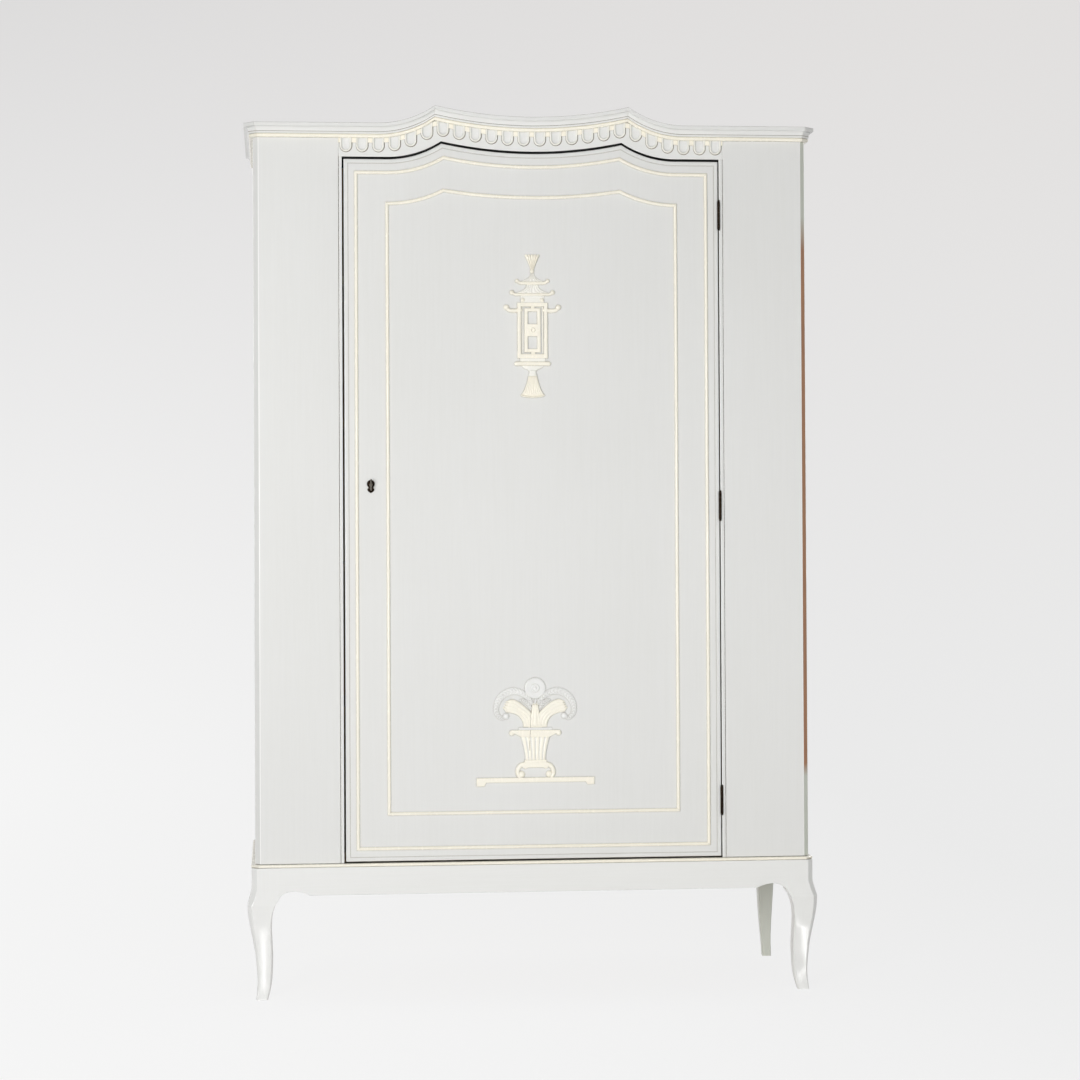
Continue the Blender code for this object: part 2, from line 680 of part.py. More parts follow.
def build_gutter(x, high, centre, rim):
    """The round-ended hollow down the middle of one tongue, as a cutter."""
    half = GUTTER_WIDTH / 2
    stations = [(high, 1.0), (centre, 1.0)]
    for i in range(1, 4):
        angle = GUTTER_END_TURN * i / 3
        stations.append((centre - half * math.sin(angle), math.cos(angle)))
    turns = [math.tau * k / 12 for k in range(12)]
    rings = []
    for z, size in stations:
        across, deep = half * size, GUTTER_DEPTH * size
        rings.append([Vector((x + across * math.cos(a), rim + deep * math.sin(a), z)) for a in turns])
    return loft(rings)


# Cornice

def cornice_profile():
    """Half-round bead, fillet, cove and fascia, with a flat back and underside."""
    bead = CORNICE_HEIGHT - CORNICE_FASCIA_HEIGHT - CORNICE_COVE_HEIGHT - CORNICE_FILLET_HEIGHT
    profile = [(-CORNICE_INNER, 0.0)]
    for i in range(7):
        angle = math.pi * (i / 6 - 0.5)
        profile.append((CORNICE_BEAD_ROOT + bead / 2 * math.cos(angle), bead / 2 + bead / 2 * math.sin(angle)))
    profile.append((CORNICE_FILLET, bead))
    cove_foot = bead + CORNICE_FILLET_HEIGHT
    for i in range(5):
        angle = math.pi / 2 * i / 4
        profile.append((CORNICE_FILLET + CORNICE_COVE_WIDTH * (1 - math.cos(angle)),
                        cove_foot + CORNICE_COVE_HEIGHT * math.sin(angle)))
    profile.append((CORNICE_FASCIA, cove_foot + CORNICE_COVE_HEIGHT))
    profile.append((CORNICE_FASCIA, CORNICE_HEIGHT))
    profile.append((-CORNICE_INNER, CORNICE_HEIGHT))
    return profile


def build_cornice(material):
    """The cornice in five lengths: two returns that turn the canted corners, and a front mitred at the cusps."""
    up = Vector((0, 0, 1))
    left = side_to_front(CORNICE_FOOT)
    right = [Vector((-p.x, p.y, p.z)) for p in reversed(left)]
    front = [Vector((x, FRONT, z)) for x, z in cornice_line(HALF_CASE - CORNER_CANT, CORNICE_FOOT)]
    path = left[:2] + front + right[1:]
    sides = mitre_sides(path, up)
    cusps = [i for i, p in enumerate(path) if abs(abs(p.x) - CORNICE_CUSP_AT) < FIT / 2]
    first, last = cusps[0], cusps[-1]
    corner = len(path) - 3
    profile = cornice_profile()
    half_gap = END_GAP / 2
    pieces = [("cornice_return_left", 0, 2, (0.0, half_gap)),
              ("cornice_front_left", 2, first, (half_gap, half_gap)),
              ("cornice_front_centre", first, last, (half_gap, half_gap)),
              ("cornice_front_right", last, corner, (half_gap, half_gap)),
              ("cornice_return_right", corner, len(path) - 1, (half_gap, 0.0))]
    for name, start, end, pull in pieces:
        solid = moulding(path[start:end + 1], sides[start:end + 1], up, profile, pull)
        add_part(name, solid, material, sharp=30)


# Door

def door_outline(drop=0.0):
    """The door's edge in elevation, anticlockwise, with its top lowered by a drop."""
    top = door_line(HALF_DOOR, DOOR_TOP - drop)
    return [(-HALF_DOOR, DOOR_FOOT), (HALF_DOOR, DOOR_FOOT)] + list(reversed(top))


def keyhole_outline(radius, slot_half, slot_reach):
    """A keyhole: a round hole with a slot that hangs from it."""
    start = math.asin(slot_half / radius)
    points = []
    for i in range(11):
        angle = -math.pi / 2 + start + (math.tau - 2 * start) * i / 10
        points.append((KEY_X + radius * math.cos(angle), KEY_HEIGHT + radius * math.sin(angle)))
    return points + [(KEY_X - slot_half, KEY_HEIGHT - slot_reach), (KEY_X + slot_half, KEY_HEIGHT - slot_reach)]


def build_door_panel(parent, material):
    """The door's slab: rounded front edge, a fine groove beside it, and a keyhole."""
    outline = door_outline()
    profile = [(0.0, DOOR_BACK)]
    for i in range(4):
        angle = math.pi / 2 * i / 3
        profile.append((DOOR_ROUND * (1 - math.cos(angle)), FRONT + DOOR_ROUND * (1 - math.sin(angle))))
    groove_end = DOOR_GROOVE_INSET + DOOR_GROOVE_WIDTH
    profile += [(DOOR_GROOVE_INSET, FRONT), (DOOR_GROOVE_INSET, FRONT + DOOR_GROOVE_DEPTH),
                (groove_end, FRONT + DOOR_GROOVE_DEPTH), (groove_end, FRONT)]
    rings = [[Vector((x, y, z)) for x, z in inset(outline, distance)] for distance, y in profile]
    door = add_part("door_panel", loft(rings), material, parent, sharp=30)
    hole = keyhole_outline(KEY_HOLE, KEY_BIT_THICK / 2 + 2 * FIT, KEY_BIT_REACH + 2 * FIT)
    combine(door, prism_y(hole, FRONT - DOOR_ROUND, DOOR_BACK + DOOR_ROUND), "DIFFERENCE")


def bead_profile():
    """A half-round bead with a flat back."""
    points = []
    for i in range(7):
        angle = math.pi * i / 6
        points.append((BEAD_WIDTH / 2 * math.cos(angle), BEAD_PROUD * math.sin(angle)))
    return points


def build_bead_frame(prefix, outline, parent, material):
    """Four mitred strips of bead: the first two edges of the outline, the top line and the last edge."""
    out = Vector((0, -1, 0))
    path = [Vector((x, DOOR_FACE, z)) for x, z in outline]
    sides = mitre_sides(path, out, closed=True)
    path.append(path[0])
    sides.append(sides[0])
    half_gap = END_GAP / 2
    top_end = len(path) - 2
    pieces = [("bottom", 0, 1), ("right", 1, 2), ("top", 2, top_end), ("left", top_end, len(path) - 1)]
    for name, start, end in pieces:
        solid = moulding(path[start:end + 1], sides[start:end + 1], out, bead_profile(), (half_gap, half_gap))
        add_part(f"{prefix}_{name}", solid, material, parent)


def build_beads(parent, material):
    """The outer bead follows the door's edge; the inner one has a crossbow of its own."""
    outer = inset(door_outline(OUTER_BEAD_TOP_DROP), OUTER_BEAD_INSET)
    build_bead_frame("bead_outer", outer, parent, material)
    line = crossbow(INNER_BEAD_HALF, INNER_CUSP_AT, INNER_CUSP_RISE, INNER_DIP_RISE, INNER_SHOULDER)
    top = raised(line, DOOR_TOP - INNER_BEAD_TOP)[1:-1]
    top = [(-INNER_BEAD_HALF, top[0][1])] + [p for p in top if abs(p[0]) < INNER_BEAD_HALF - BEAD_WIDTH]
    top.append((INNER_BEAD_HALF, top[0][1]))
    foot = DOOR_FOOT + INNER_BEAD_BOTTOM
    inner = [(-INNER_BEAD_HALF, foot), (INNER_BEAD_HALF, foot)] + list(reversed(top))
    build_bead_frame("bead_inner", inner, parent, material)


# Ornaments, drawn as outlines of (x, z) about their own middle line, in ornament units down from the top

def drawn(points, top):
    """Turn ornament points into door coordinates."""
    return [(x * ORNAMENT_UNIT, top + z * ORNAMENT_UNIT) for x, z in points]


def raised_shape(points, top, thick):
    """A shape of the ornament, as a flat relief on the door's face."""
    return prism_y(drawn(points, top), DOOR_FACE - thick, DOOR_FACE)


def disc(x, z, radius, top, thick, count=10):
    """A round boss of the ornament with a domed face."""
    centre = drawn([(x, z)], top)[0]
    rings = []
    for depth, size in ((0.0, 1.0), (0.6, 1.0), (1.0, 0.55)):
        ring = circle(centre, radius * ORNAMENT_UNIT * size, count)
        rings.append([Vector((px, DOOR_FACE - thick * depth, pz)) for px, pz in ring])
    return loft(rings)


def bar(x0, x1, z0, z1):
    """A rectangle."""
    return [(x0, z0), (x1, z0), (x1, z1), (x0, z1)]


def swept_shape(spine, top, thick):
    """A tapering scroll: spine points are (x, z, width)."""
    left, right = [], []
    for i, (x, z, width) in enumerate(spine):
        before = spine[max(i - 1, 0)]
        after = spine[min(i + 1, len(spine) - 1)]
        along = Vector((after[0] - before[0], after[1] - before[1])).normalized()
        left.append((x - along.y * width / 2, z + along.x * width / 2))
        right.append((x + along.y * width / 2, z - along.x * width / 2))
    return raised_shape(left + list(reversed(right)), top, thick)


def roof(z_ridge, z_eave, half_ridge, half_eave, steps=5):
    """A bell-shaped roof in elevation: concave slopes that run out to the eaves."""
    right = []
    for i in range(steps + 1):
        t = i / steps
        x = half_ridge + (half_eave - half_ridge) * t ** 1.8
        right.append((x, z_ridge + (z_eave - z_ridge) * t))
    return right + mirror_x(right)


def build_lantern(parent, material):
    """The hanging lantern: fan tassel, two bell roofs, a latticed body with arms, a tray and a long tassel."""
    low, high, top = ORNAMENT_LOW, ORNAMENT_HIGH, LANTERN_TOP
    fan = [(16.5 * math.sin(a), -38 + 38 * math.cos(a)) for a in [math.radians(25 - 10 * k) for k in range(6)]]
    solids = [raised_shape([(3.2, -36), (16.5, -4)] + fan + [(-16.5, -4), (-3.2, -36)], top, high)]
    solids.append(disc(0, -37.5, 4.6, top, high))
    solids.append(raised_shape(roof(-39, -61, 3, 34), top, low))
    solids.append(raised_shape(bar(-32, 32, -65, -60), top, high))
    solids.append(raised_shape(roof(-63, -85, 12, 46), top, low))
    solids.append(raised_shape(bar(-43, 43, -88.5, -83.5), top, high))
    for side in (-1, 1):
        solids.append(disc(side * 32, -60, 4.2, top, high))
        solids.append(disc(side * 43.5, -83, 4.6, top, high))
        solids.append(disc(side * 21, -99, 5.0, top, high))
        solids.append(swept_shape([(side * x, z, w) for x, z, w in
                                   ((28, -121, 8), (40, -123, 7), (50, -122, 6), (56.5, -117, 5))], top, high))
        solids.append(disc(side * 57, -114, 5.0, top, high))
        solids.append(raised_shape(bar(side * 32.5, side * 24, -224, -105), top, high))
        solids.append(raised_shape(bar(side * 17, side * 10, -211, -117), top, high * 0.9))
    solids.append(raised_shape(bar(-22, 22, -107, -87), top, low))
    for z0, z1, half in ((-113.5, -105, 30), (-224, -215, 30), (-123, -116.5, 15), (-211, -204, 15)):
        solids.append(raised_shape(bar(-half, half, z0, z1), top, high * 0.95))
    solids.append(raised_shape(bar(-3.5, 3.5, -118, -112), top, high * 0.85))
    solids.append(raised_shape(bar(-4.5, 4.5, -217, -209), top, high * 0.85))
    solids.append(raised_shape(bar(-12, 12, -177, -151), top, high))
    solids.append(disc(0, -164, 5.4, top, high * 1.25))
    solids.append(raised_shape(bar(-26, 26, -231, -222), top, low))
    solids.append(raised_shape(bar(-34, 34, -240, -230), top, high))
    for side in (-1, 1):
        solids.append(disc(side * 34, -235, 5.0, top, high))
    solids.append(raised_shape([(24, -238), (9, -251), (-9, -251), (-24, -238)], top, low))
    tassel = [(8, -249), (-8, -249), (-25, -303)]
    tassel += [(-25 + 50 * k / 6, -303 - 6 * math.sin(math.pi * k / 6)) for k in range(1, 6)]
    solids.append(raised_shape(tassel + [(25, -303)], top, high))
    lantern = add_part("lantern_ornament", solids.pop(0), material, parent, sharp=30)
    combine(lantern, merged(solids), "UNION", overlapping=True)


def build_urn(parent, material):
    """The urn of plumes: plinth, scrolled feet, fluted urn, spreading leaves, feather plumes and a rosette."""
    low, high, top = ORNAMENT_LOW, ORNAMENT_HIGH, URN_TOP
    solids = [raised_shape(bar(-127, 127, -223.5, -214), top, high)]
    solids.append(raised_shape(bar(-30, 32, -196, -179), top, high * 0.9))
    rim = [(-52, -113), (-52, -120), (-30, -124), (30, -124), (52, -120), (52, -113)]
    solids.append(raised_shape(rim, top, high))
    flare = []
    for i in range(6):
        t = i / 5
        flare.append((21 + 12 * t ** 2.2, -180 + 60 * t))
    solids.append(raised_shape(flare + mirror_x(flare), top, high * 0.9))
    solids.append(raised_shape(bar(-36, 36, -114, -107), top, low))
    leaf = [(-4, -109), (-6, -84), (-22, -63), (-38, -50.5), (-54, -46), (-67, -55), (-65, -75), (-38.5, -79),
            (-28, -91), (-24, -109)]
    plume = [(-10, -60, 10), (-22, -44, 12), (-36, -34, 14), (-52, -31, 15), (-68, -38, 14), (-79, -50, 12),
             (-84, -64, 10), (-82, -78, 9), (-73, -87, 8), (-63, -85, 8)]
    foot = [(-20, -184, 10), (-31, -187, 10), (-38, -196, 9), (-38.5, -207, 9), (-34, -215, 8)]
    for side in (-1, 1):
        solids.append(raised_shape(bar(side * 127, side * 108, -232, -220), top, high))
        solids.append(disc(side * 50, -118, 6.5, top, high * 1.1))
        solids.append(swept_shape([(-side * x, z, w) for x, z, w in foot], top, high))
        solids.append(disc(side * 29.5, -207, 7.5, top, high * 1.1))
        solids.append(raised_shape([(-side * x, z) for x, z in leaf], top, high))
        solids.append(swept_shape([(-side * x, z, w) for x, z, w in plume], top, low))
        solids.append(disc(side * 62, -83, 6.5, top, low))
    stem = [(-14, -109), (14, -109), (7, -44), (-7, -44)]
    solids.append(raised_shape(stem, top, high * 0.95))
    solids.append(disc(0, -25, 25, top, low, 20))
    solids.append(disc(0, -25, 9, top, high, 12))
    for solid in solids:
        bmesh.ops.translate(solid, verts=solid.verts, vec=(URN_RIGHT, 0, 0))
    urn = add_part("urn_ornament", solids.pop(0), material, parent, sharp=30)
    combine(urn, merged(solids), "UNION", overlapping=True)


# Hinges

def build_hinge(number, height, parent, material):
    """A butt hinge: a leaf on the post, a leaf on the door's edge, interleaved knuckles and a headed pin."""
    low, high = height - HINGE_LENGTH / 2, height + HINGE_LENGTH / 2
    knuckle = HINGE_LENGTH / HINGE_KNUCKLES
    leaf_back = FRONT + HINGE_LEAF_DEPTH
    clear_front = HINGE_Y + HINGE_RADIUS + 2 * FIT
    ends = {"frame": HALF_OPENING - FIT, "door": HALF_DOOR + FIT}
    ways = {"frame": -1, "door": 1}
    for which in ("frame", "door"):
        outer = ends[which]
        inner = outer + ways[which] * HINGE_LEAF_THICK
        first = 0 if which == "frame" else 1
        slots = range(first, HINGE_KNUCKLES, 2)
        leaf = add_part(f"hinge_{number}_{which}_leaf", box((outer, inner), (clear_front, leaf_back), (low, high)),
                        material, parent if which == "door" else None)
        knuckles, tabs = [], []
        for slot in slots:
            z0, z1 = low + slot * knuckle + FIT / 2, low + (slot + 1) * knuckle - FIT / 2
            knuckles.append(cylinder_z(HINGE_X, HINGE_Y, HINGE_RADIUS, z0, z1))
            tabs.append(box((outer, inner), (HINGE_Y + HINGE_RADIUS / 2, clear_front + 2 * FIT), (z0, z1)))
        combine(leaf, merged(tabs), "UNION")
        combine(leaf, merged(knuckles), "UNION")
        combine(leaf, cylinder_z(HINGE_X, HINGE_Y, HINGE_BORE, low - FIT, high + FIT), "DIFFERENCE")
    stations = [(low - HINGE_HEAD_HEIGHT, HINGE_PIN), (low - HINGE_HEAD_SHOULDER, HINGE_PIN_HEAD),
                (low - FIT, HINGE_PIN_HEAD), (low - FIT, HINGE_PIN),
                (high + FIT, HINGE_PIN), (high + FIT, HINGE_PIN_HEAD),
                (high + HINGE_HEAD_SHOULDER, HINGE_PIN_HEAD), (high + HINGE_HEAD_HEIGHT, HINGE_PIN)]
    rings = [[Vector((x, y, z)) for x, y in circle((HINGE_X, HINGE_Y), radius, 12)] for z, radius in stations]
    add_part(f"hinge_{number}_pin", loft(rings), material)


# Lock

def build_lock(parent, steel, brass):
    """A rim lock on the door's back, its bolt, the strike on the post, the escutcheon and the key."""
    right = LOCK_LEFT + LOCK_WIDTH
    low, high = KEY_HEIGHT - LOCK_BELOW, KEY_HEIGHT + LOCK_ABOVE
    case = add_part("lock_case", box((LOCK_LEFT, right), (LOCK_FACE, LOCK_FACE + LOCK_DEPTH), (low, high)), steel,
                    parent)
    bolt_low = KEY_HEIGHT + BOLT_BOTTOM
    hollow = box((LOCK_LEFT + LOCK_WALL, right - LOCK_WALL), (LOCK_FACE - FIT, LOCK_FACE + LOCK_DEPTH - LOCK_WALL),
                 (low + LOCK_WALL, high - LOCK_WALL))
    combine(case, hollow, "DIFFERENCE")
    window = box((LOCK_LEFT - FIT, LOCK_LEFT + 2 * LOCK_WALL),
                 (BOLT_FRONT - BOLT_CLEAR, BOLT_FRONT + BOLT_DEPTH + BOLT_CLEAR),
                 (bolt_low - BOLT_CLEAR, bolt_low + BOLT_HEIGHT + BOLT_CLEAR))
    combine(case, window, "DIFFERENCE")

    reach = math.sqrt(KEY_BIT_REACH ** 2 - BOLT_BOTTOM ** 2)
    engaged = 2 * math.acos(BOLT_BOTTOM / KEY_BIT_REACH) / KEY_TURN * BOLT_THROW
    talon_half = reach + KEY_BIT_THICK / 2 + engaged / 2 + BOLT_CLEAR
    talon = KEY_X + BOLT_THROW / 2
    left_end, right_end = LOCK_LEFT + FIT, right - LOCK_WALL - BOLT_CLEAR
    outline = [(left_end, bolt_low), (talon - talon_half, bolt_low), (talon - talon_half, bolt_low + TALON_HEIGHT),
               (talon + talon_half, bolt_low + TALON_HEIGHT), (talon + talon_half, bolt_low), (right_end, bolt_low),
               (right_end, bolt_low + BOLT_HEIGHT), (left_end, bolt_low + BOLT_HEIGHT)]
    add_part("lock_bolt", prism_y(outline, BOLT_FRONT, BOLT_FRONT + BOLT_DEPTH), steel, parent,
             (KEY_X, BOLT_FRONT + BOLT_DEPTH / 2, bolt_low + BOLT_HEIGHT / 2))

    mouth_y = (BOLT_FRONT - MORTISE_CLEAR, BOLT_FRONT + BOLT_DEPTH + MORTISE_CLEAR)
    mouth_z = (bolt_low - MORTISE_CLEAR, bolt_low + BOLT_HEIGHT + MORTISE_CLEAR)
    plate_x = (-HALF_OPENING + FIT, -HALF_OPENING + FIT + STRIKE_THICK)
    strike = add_part("strike_plate", box(plate_x, (mouth_y[0] - MORTISE_CLEAR, mouth_y[1] + STRIKE_MARGIN),
                                          (mouth_z[0] - STRIKE_MARGIN, mouth_z[1] + STRIKE_MARGIN)), steel)
    combine(strike, box((plate_x[0] - FIT, plate_x[1] + FIT), mouth_y, mouth_z), "DIFFERENCE")

    build_escutcheon(parent, brass)
    build_key(parent, steel)


def build_escutcheon(parent, material):
    """A round keyhole plate that narrows and spreads again to a pointed lobe."""
    centre = KEY_HEIGHT + ESCUTCHEON_CENTRE
    right = []
    for i in range(9):
        angle = math.pi / 2 - ESCUTCHEON_ARC * i / 8
        right.append((ESCUTCHEON_RADIUS * math.cos(angle), centre + ESCUTCHEON_RADIUS * math.sin(angle)))
    right.append((ESCUTCHEON_LOBE, KEY_HEIGHT - ESCUTCHEON_LOBE_DROP))
    right.append((ESCUTCHEON_LOBE * 0.55, KEY_HEIGHT - (ESCUTCHEON_LOBE_DROP + ESCUTCHEON_POINT_DROP) / 2))
    right.append((0.0, KEY_HEIGHT - ESCUTCHEON_POINT_DROP))
    outline = right + [(-x, z) for x, z in reversed(right[1:-1])]
    outline = [(KEY_X + x, z) for x, z in outline]
    rings = [[Vector((x, y, z)) for x, z in outline] for y in (DOOR_FACE, DOOR_FACE - ESCUTCHEON_THICK)]
    plate = add_part("escutcheon", loft(rings), material, parent)
    hole = keyhole_outline(KEY_HOLE, KEY_BIT_THICK / 2 + 2 * FIT, KEY_BIT_REACH + 2 * FIT)
    combine(plate, prism_y(hole, DOOR_FACE - 2 * ESCUTCHEON_THICK, DOOR_FACE + ESCUTCHEON_THICK), "DIFFERENCE")


def build_key(parent, material):
    """The key in its hole: oval bow edge-on to the front, collar, round shank and a bit that hangs down."""
    tip = BOLT_FRONT + BOLT_DEPTH
    bow_y = FRONT - KEY_PROUD + KEY_BOW_HALF_DEPTH
    collar = FRONT - ESCUTCHEON_THICK - 2 * FIT
    shank_start = bow_y + KEY_BOW_HALF_DEPTH - KEY_BOW_WEB / 2
    collar_start = collar - KEY_COLLAR_LENGTH
    shank = turned_y(KEY_X, KEY_HEIGHT, [(shank_start, KEY_SHANK), (collar_start, KEY_SHANK),
                                         (collar_start + KEY_COLLAR_EASE, KEY_COLLAR),
                                         (collar - KEY_COLLAR_EASE, KEY_COLLAR),
                                         (collar, KEY_SHANK), (tip, KEY_SHANK)])
    key = add_part("key", shank, material, parent, (KEY_X, FRONT, KEY_HEIGHT))
    loops = []
    for web in (KEY_BOW_WEB, 0.0):
        half_depth, half_height = KEY_BOW_HALF_DEPTH - web, KEY_BOW_HALF_HEIGHT - web
        turns = [math.tau * i / 20 for i in range(20)]
        loops.append([(bow_y + half_depth * math.cos(a), KEY_HEIGHT + half_height * math.sin(a)) for a in turns])
    inner, outer = loops
    edge = KEY_BOW_THICK / 2 * KEY_BOW_EASE
    rings = []
    for loop, x in ((inner, -edge), (outer, -edge), (outer, edge), (inner, edge)):
        rings.append([Vector((KEY_X + x, y, z)) for y, z in loop])
    combine(key, loft(rings, cyclic=True), "UNION")
    bit_front = tip - BOLT_DEPTH
    combine(key, box((KEY_X - KEY_BIT_THICK / 2, KEY_X + KEY_BIT_THICK / 2), (bit_front, tip - FIT),
                     (KEY_HEIGHT - KEY_BIT_REACH, KEY_HEIGHT - KEY_SHANK / 2)), "UNION")


def main():
    """Build the cupboard."""
    clear_scene()
    painted = make_material("grey_paint", (0.78, 0.78, 0.76), 0.25)
    cream = make_material("cream_paint", (0.87, 0.80, 0.66), 0.30)
    wood = make_material("bare_wood", (0.55, 0.40, 0.25), 0.55)
    steel = make_material("lock_steel", (0.35, 0.34, 0.33), 0.40, 1.0)
    brass = make_material("dark_brass", (0.16, 0.11, 0.06), 0.40, 1.0)

    for name, side in (("front_leg_left", -1), ("front_leg_right", 1)):
        build_front_leg(name, side, painted)
    for name, side in (("back_leg_left", -1), ("back_leg_right", 1)):
        build_back_leg(name, side, painted)
    build_aprons(painted)
    build_base_moulding(cream)
    build_case(painted, wood)
    build_case_front(painted)
    build_frieze(painted)
    build_cornice(painted)

    door_axis = add_empty("door_axis", (HINGE_X, HINGE_Y, 0.0))
    build_door_panel(door_axis, painted)
    build_beads(door_axis, cream)
    build_lantern(door_axis, cream)
    build_urn(door_axis, cream)
    for number, height in enumerate((LOWER_HINGE, MIDDLE_HINGE, UPPER_HINGE), 1):
        build_hinge(number, height, door_axis, brass)
    build_lock(door_axis, steel, brass)


main()
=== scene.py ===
from math import asin, cos, pi, radians, sin, sqrt, tau

import bmesh
import bpy
from mathutils import Matrix, Vector


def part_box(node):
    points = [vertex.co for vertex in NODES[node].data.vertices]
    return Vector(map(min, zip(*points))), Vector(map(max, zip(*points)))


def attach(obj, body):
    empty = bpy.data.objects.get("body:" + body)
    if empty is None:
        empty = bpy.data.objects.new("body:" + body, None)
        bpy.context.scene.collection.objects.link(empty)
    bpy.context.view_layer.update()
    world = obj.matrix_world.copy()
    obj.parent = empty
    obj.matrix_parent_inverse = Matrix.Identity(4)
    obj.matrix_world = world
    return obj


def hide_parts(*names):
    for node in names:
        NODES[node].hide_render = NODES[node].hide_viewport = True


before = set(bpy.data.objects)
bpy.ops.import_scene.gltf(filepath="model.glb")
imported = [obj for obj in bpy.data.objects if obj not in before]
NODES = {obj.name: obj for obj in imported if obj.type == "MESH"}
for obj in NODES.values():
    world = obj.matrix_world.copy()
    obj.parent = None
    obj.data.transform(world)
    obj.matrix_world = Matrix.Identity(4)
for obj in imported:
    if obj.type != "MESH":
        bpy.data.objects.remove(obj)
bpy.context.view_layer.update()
MM = 0.001

# Places read from the frame
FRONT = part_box("front_panel_left")[0].y
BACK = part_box("back_panel")[1].y
HALF_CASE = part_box("front_panel_right")[1].x
SIDES = (("left", -1), ("right", 1))


# Finishes

def srgb(red, green, blue):
    """A colour given in 0-255 screen values, as Blender's linear one."""
    linear = []
    for share in (red / 255, green / 255, blue / 255):
        linear.append(share / 12.92 if share <= 0.04045 else ((share + 0.055) / 1.055) ** 2.4)
    return (*linear, 1.0)


class Finish:
    """One node material, built up step by step."""

    def __init__(self, name):
        self.material = bpy.data.materials.new(name)
        self.material.use_nodes = True
        self.tree = self.material.node_tree
        self.shader = self.tree.nodes["Principled BSDF"]
        self.coords = self.tree.nodes.new("ShaderNodeTexCoord").outputs["Object"]

    def feed(self, node, inputs):
        """Set or join a node's inputs, each given as a value or as a socket, and return its outputs."""
        for name, value in inputs.items():
            if isinstance(value, bpy.types.NodeSocket):
                self.tree.links.new(value, node.inputs[name])
            else:
                node.inputs[name].default_value = value
        return node.outputs

    def add(self, kind, inputs):
        """The outputs of a new node with these inputs."""
        return self.feed(self.tree.nodes.new("ShaderNode" + kind), inputs)

    def noise(self, scale, detail=3.0, roughness=0.5, distortion=0.0):
        """Noise from 0 to 1, with its own number of features per metre along each axis."""
        place = self.add("Mapping", {"Vector": self.coords, "Scale": scale})["Vector"]
        return self.add("TexNoise", {"Vector": place, "Scale": 1.0, "Detail": detail, "Roughness": roughness,
                                     "Distortion": distortion})["Fac"]

    def ramp(self, source, low=0.3, high=0.7, start=0.0, end=1.0):
        """Map a value from low-high, by default the reach of most noise, to start-end, held at both ends."""
        return self.add("MapRange", {"Value": source, "From Min": low, "From Max": high, "To Min": start,
                                     "To Max": end})["Result"]

    def mix(self, share, first, second):
        """Blend two colours, each given in 0-255 screen values or as a socket."""
        node = self.tree.nodes.new("ShaderNodeMix")
        node.data_type = "RGBA"
        first, second = [srgb(*colour) if isinstance(colour, tuple) else colour for colour in (first, second)]
        return self.feed(node, {"Factor": share, 6: first, 7: second})[2]

    def sum(self, first, second, operation="ADD"):
        """Combine two values, each given as a number or as a socket."""
        node = self.tree.nodes.new("ShaderNodeMath")
        node.operation = operation
        return self.feed(node, {0: first, 1: second})["Value"]

    def hollows(self, most):
        """A share of painted shade that grows in corners and grooves."""
        node = self.tree.nodes.new("ShaderNodeAmbientOcclusion")
        node.samples = 4
        return self.ramp(self.feed(node, {"Distance": HOLLOW_REACH})["AO"], 0.35, 0.9, most, 0.0)

    def axis(self, name):
        """One object coordinate, in metres."""
        return self.add("SeparateXYZ", {"Vector": self.coords})[name]

    def crack(self, top, bottom):
        """A share of 1 on a fine split between two points (x, z) of the front."""
        slope = (bottom[0] - top[0]) / (bottom[1] - top[1])
        centre = self.sum(self.sum(self.sum(self.axis("Z"), top[1], "SUBTRACT"), slope, "MULTIPLY"), top[0])
        centre = self.sum(centre, self.ramp(self.noise((0, 0, 70), 2.0), start=-CRACK_WAVE, end=CRACK_WAVE))
        away = self.sum(self.sum(self.axis("X"), centre, "SUBTRACT"), 0.0, "ABSOLUTE")
        within = self.sum(self.sum(self.axis("Z"), bottom[1], "GREATER_THAN"),
                          self.sum(self.axis("Z"), top[1], "LESS_THAN"), "MULTIPLY")
        return self.sum(self.ramp(away, CRACK_HALF * 0.6, CRACK_HALF * 1.4, 0.8, 0.0), within, "MULTIPLY")

    def coat(self, colour, pattern, smooth, rough, relief, depth):
        """Give the colour, a roughness that follows a pattern, and relief with the depth of a full step."""
        self.feed(self.shader, {
            "Base Color": colour, "Roughness": self.ramp(pattern, start=smooth, end=rough),
            "Normal": self.add("Bump", {"Height": relief, "Distance": depth, "Strength": 1.0})["Normal"]})
        return self.material


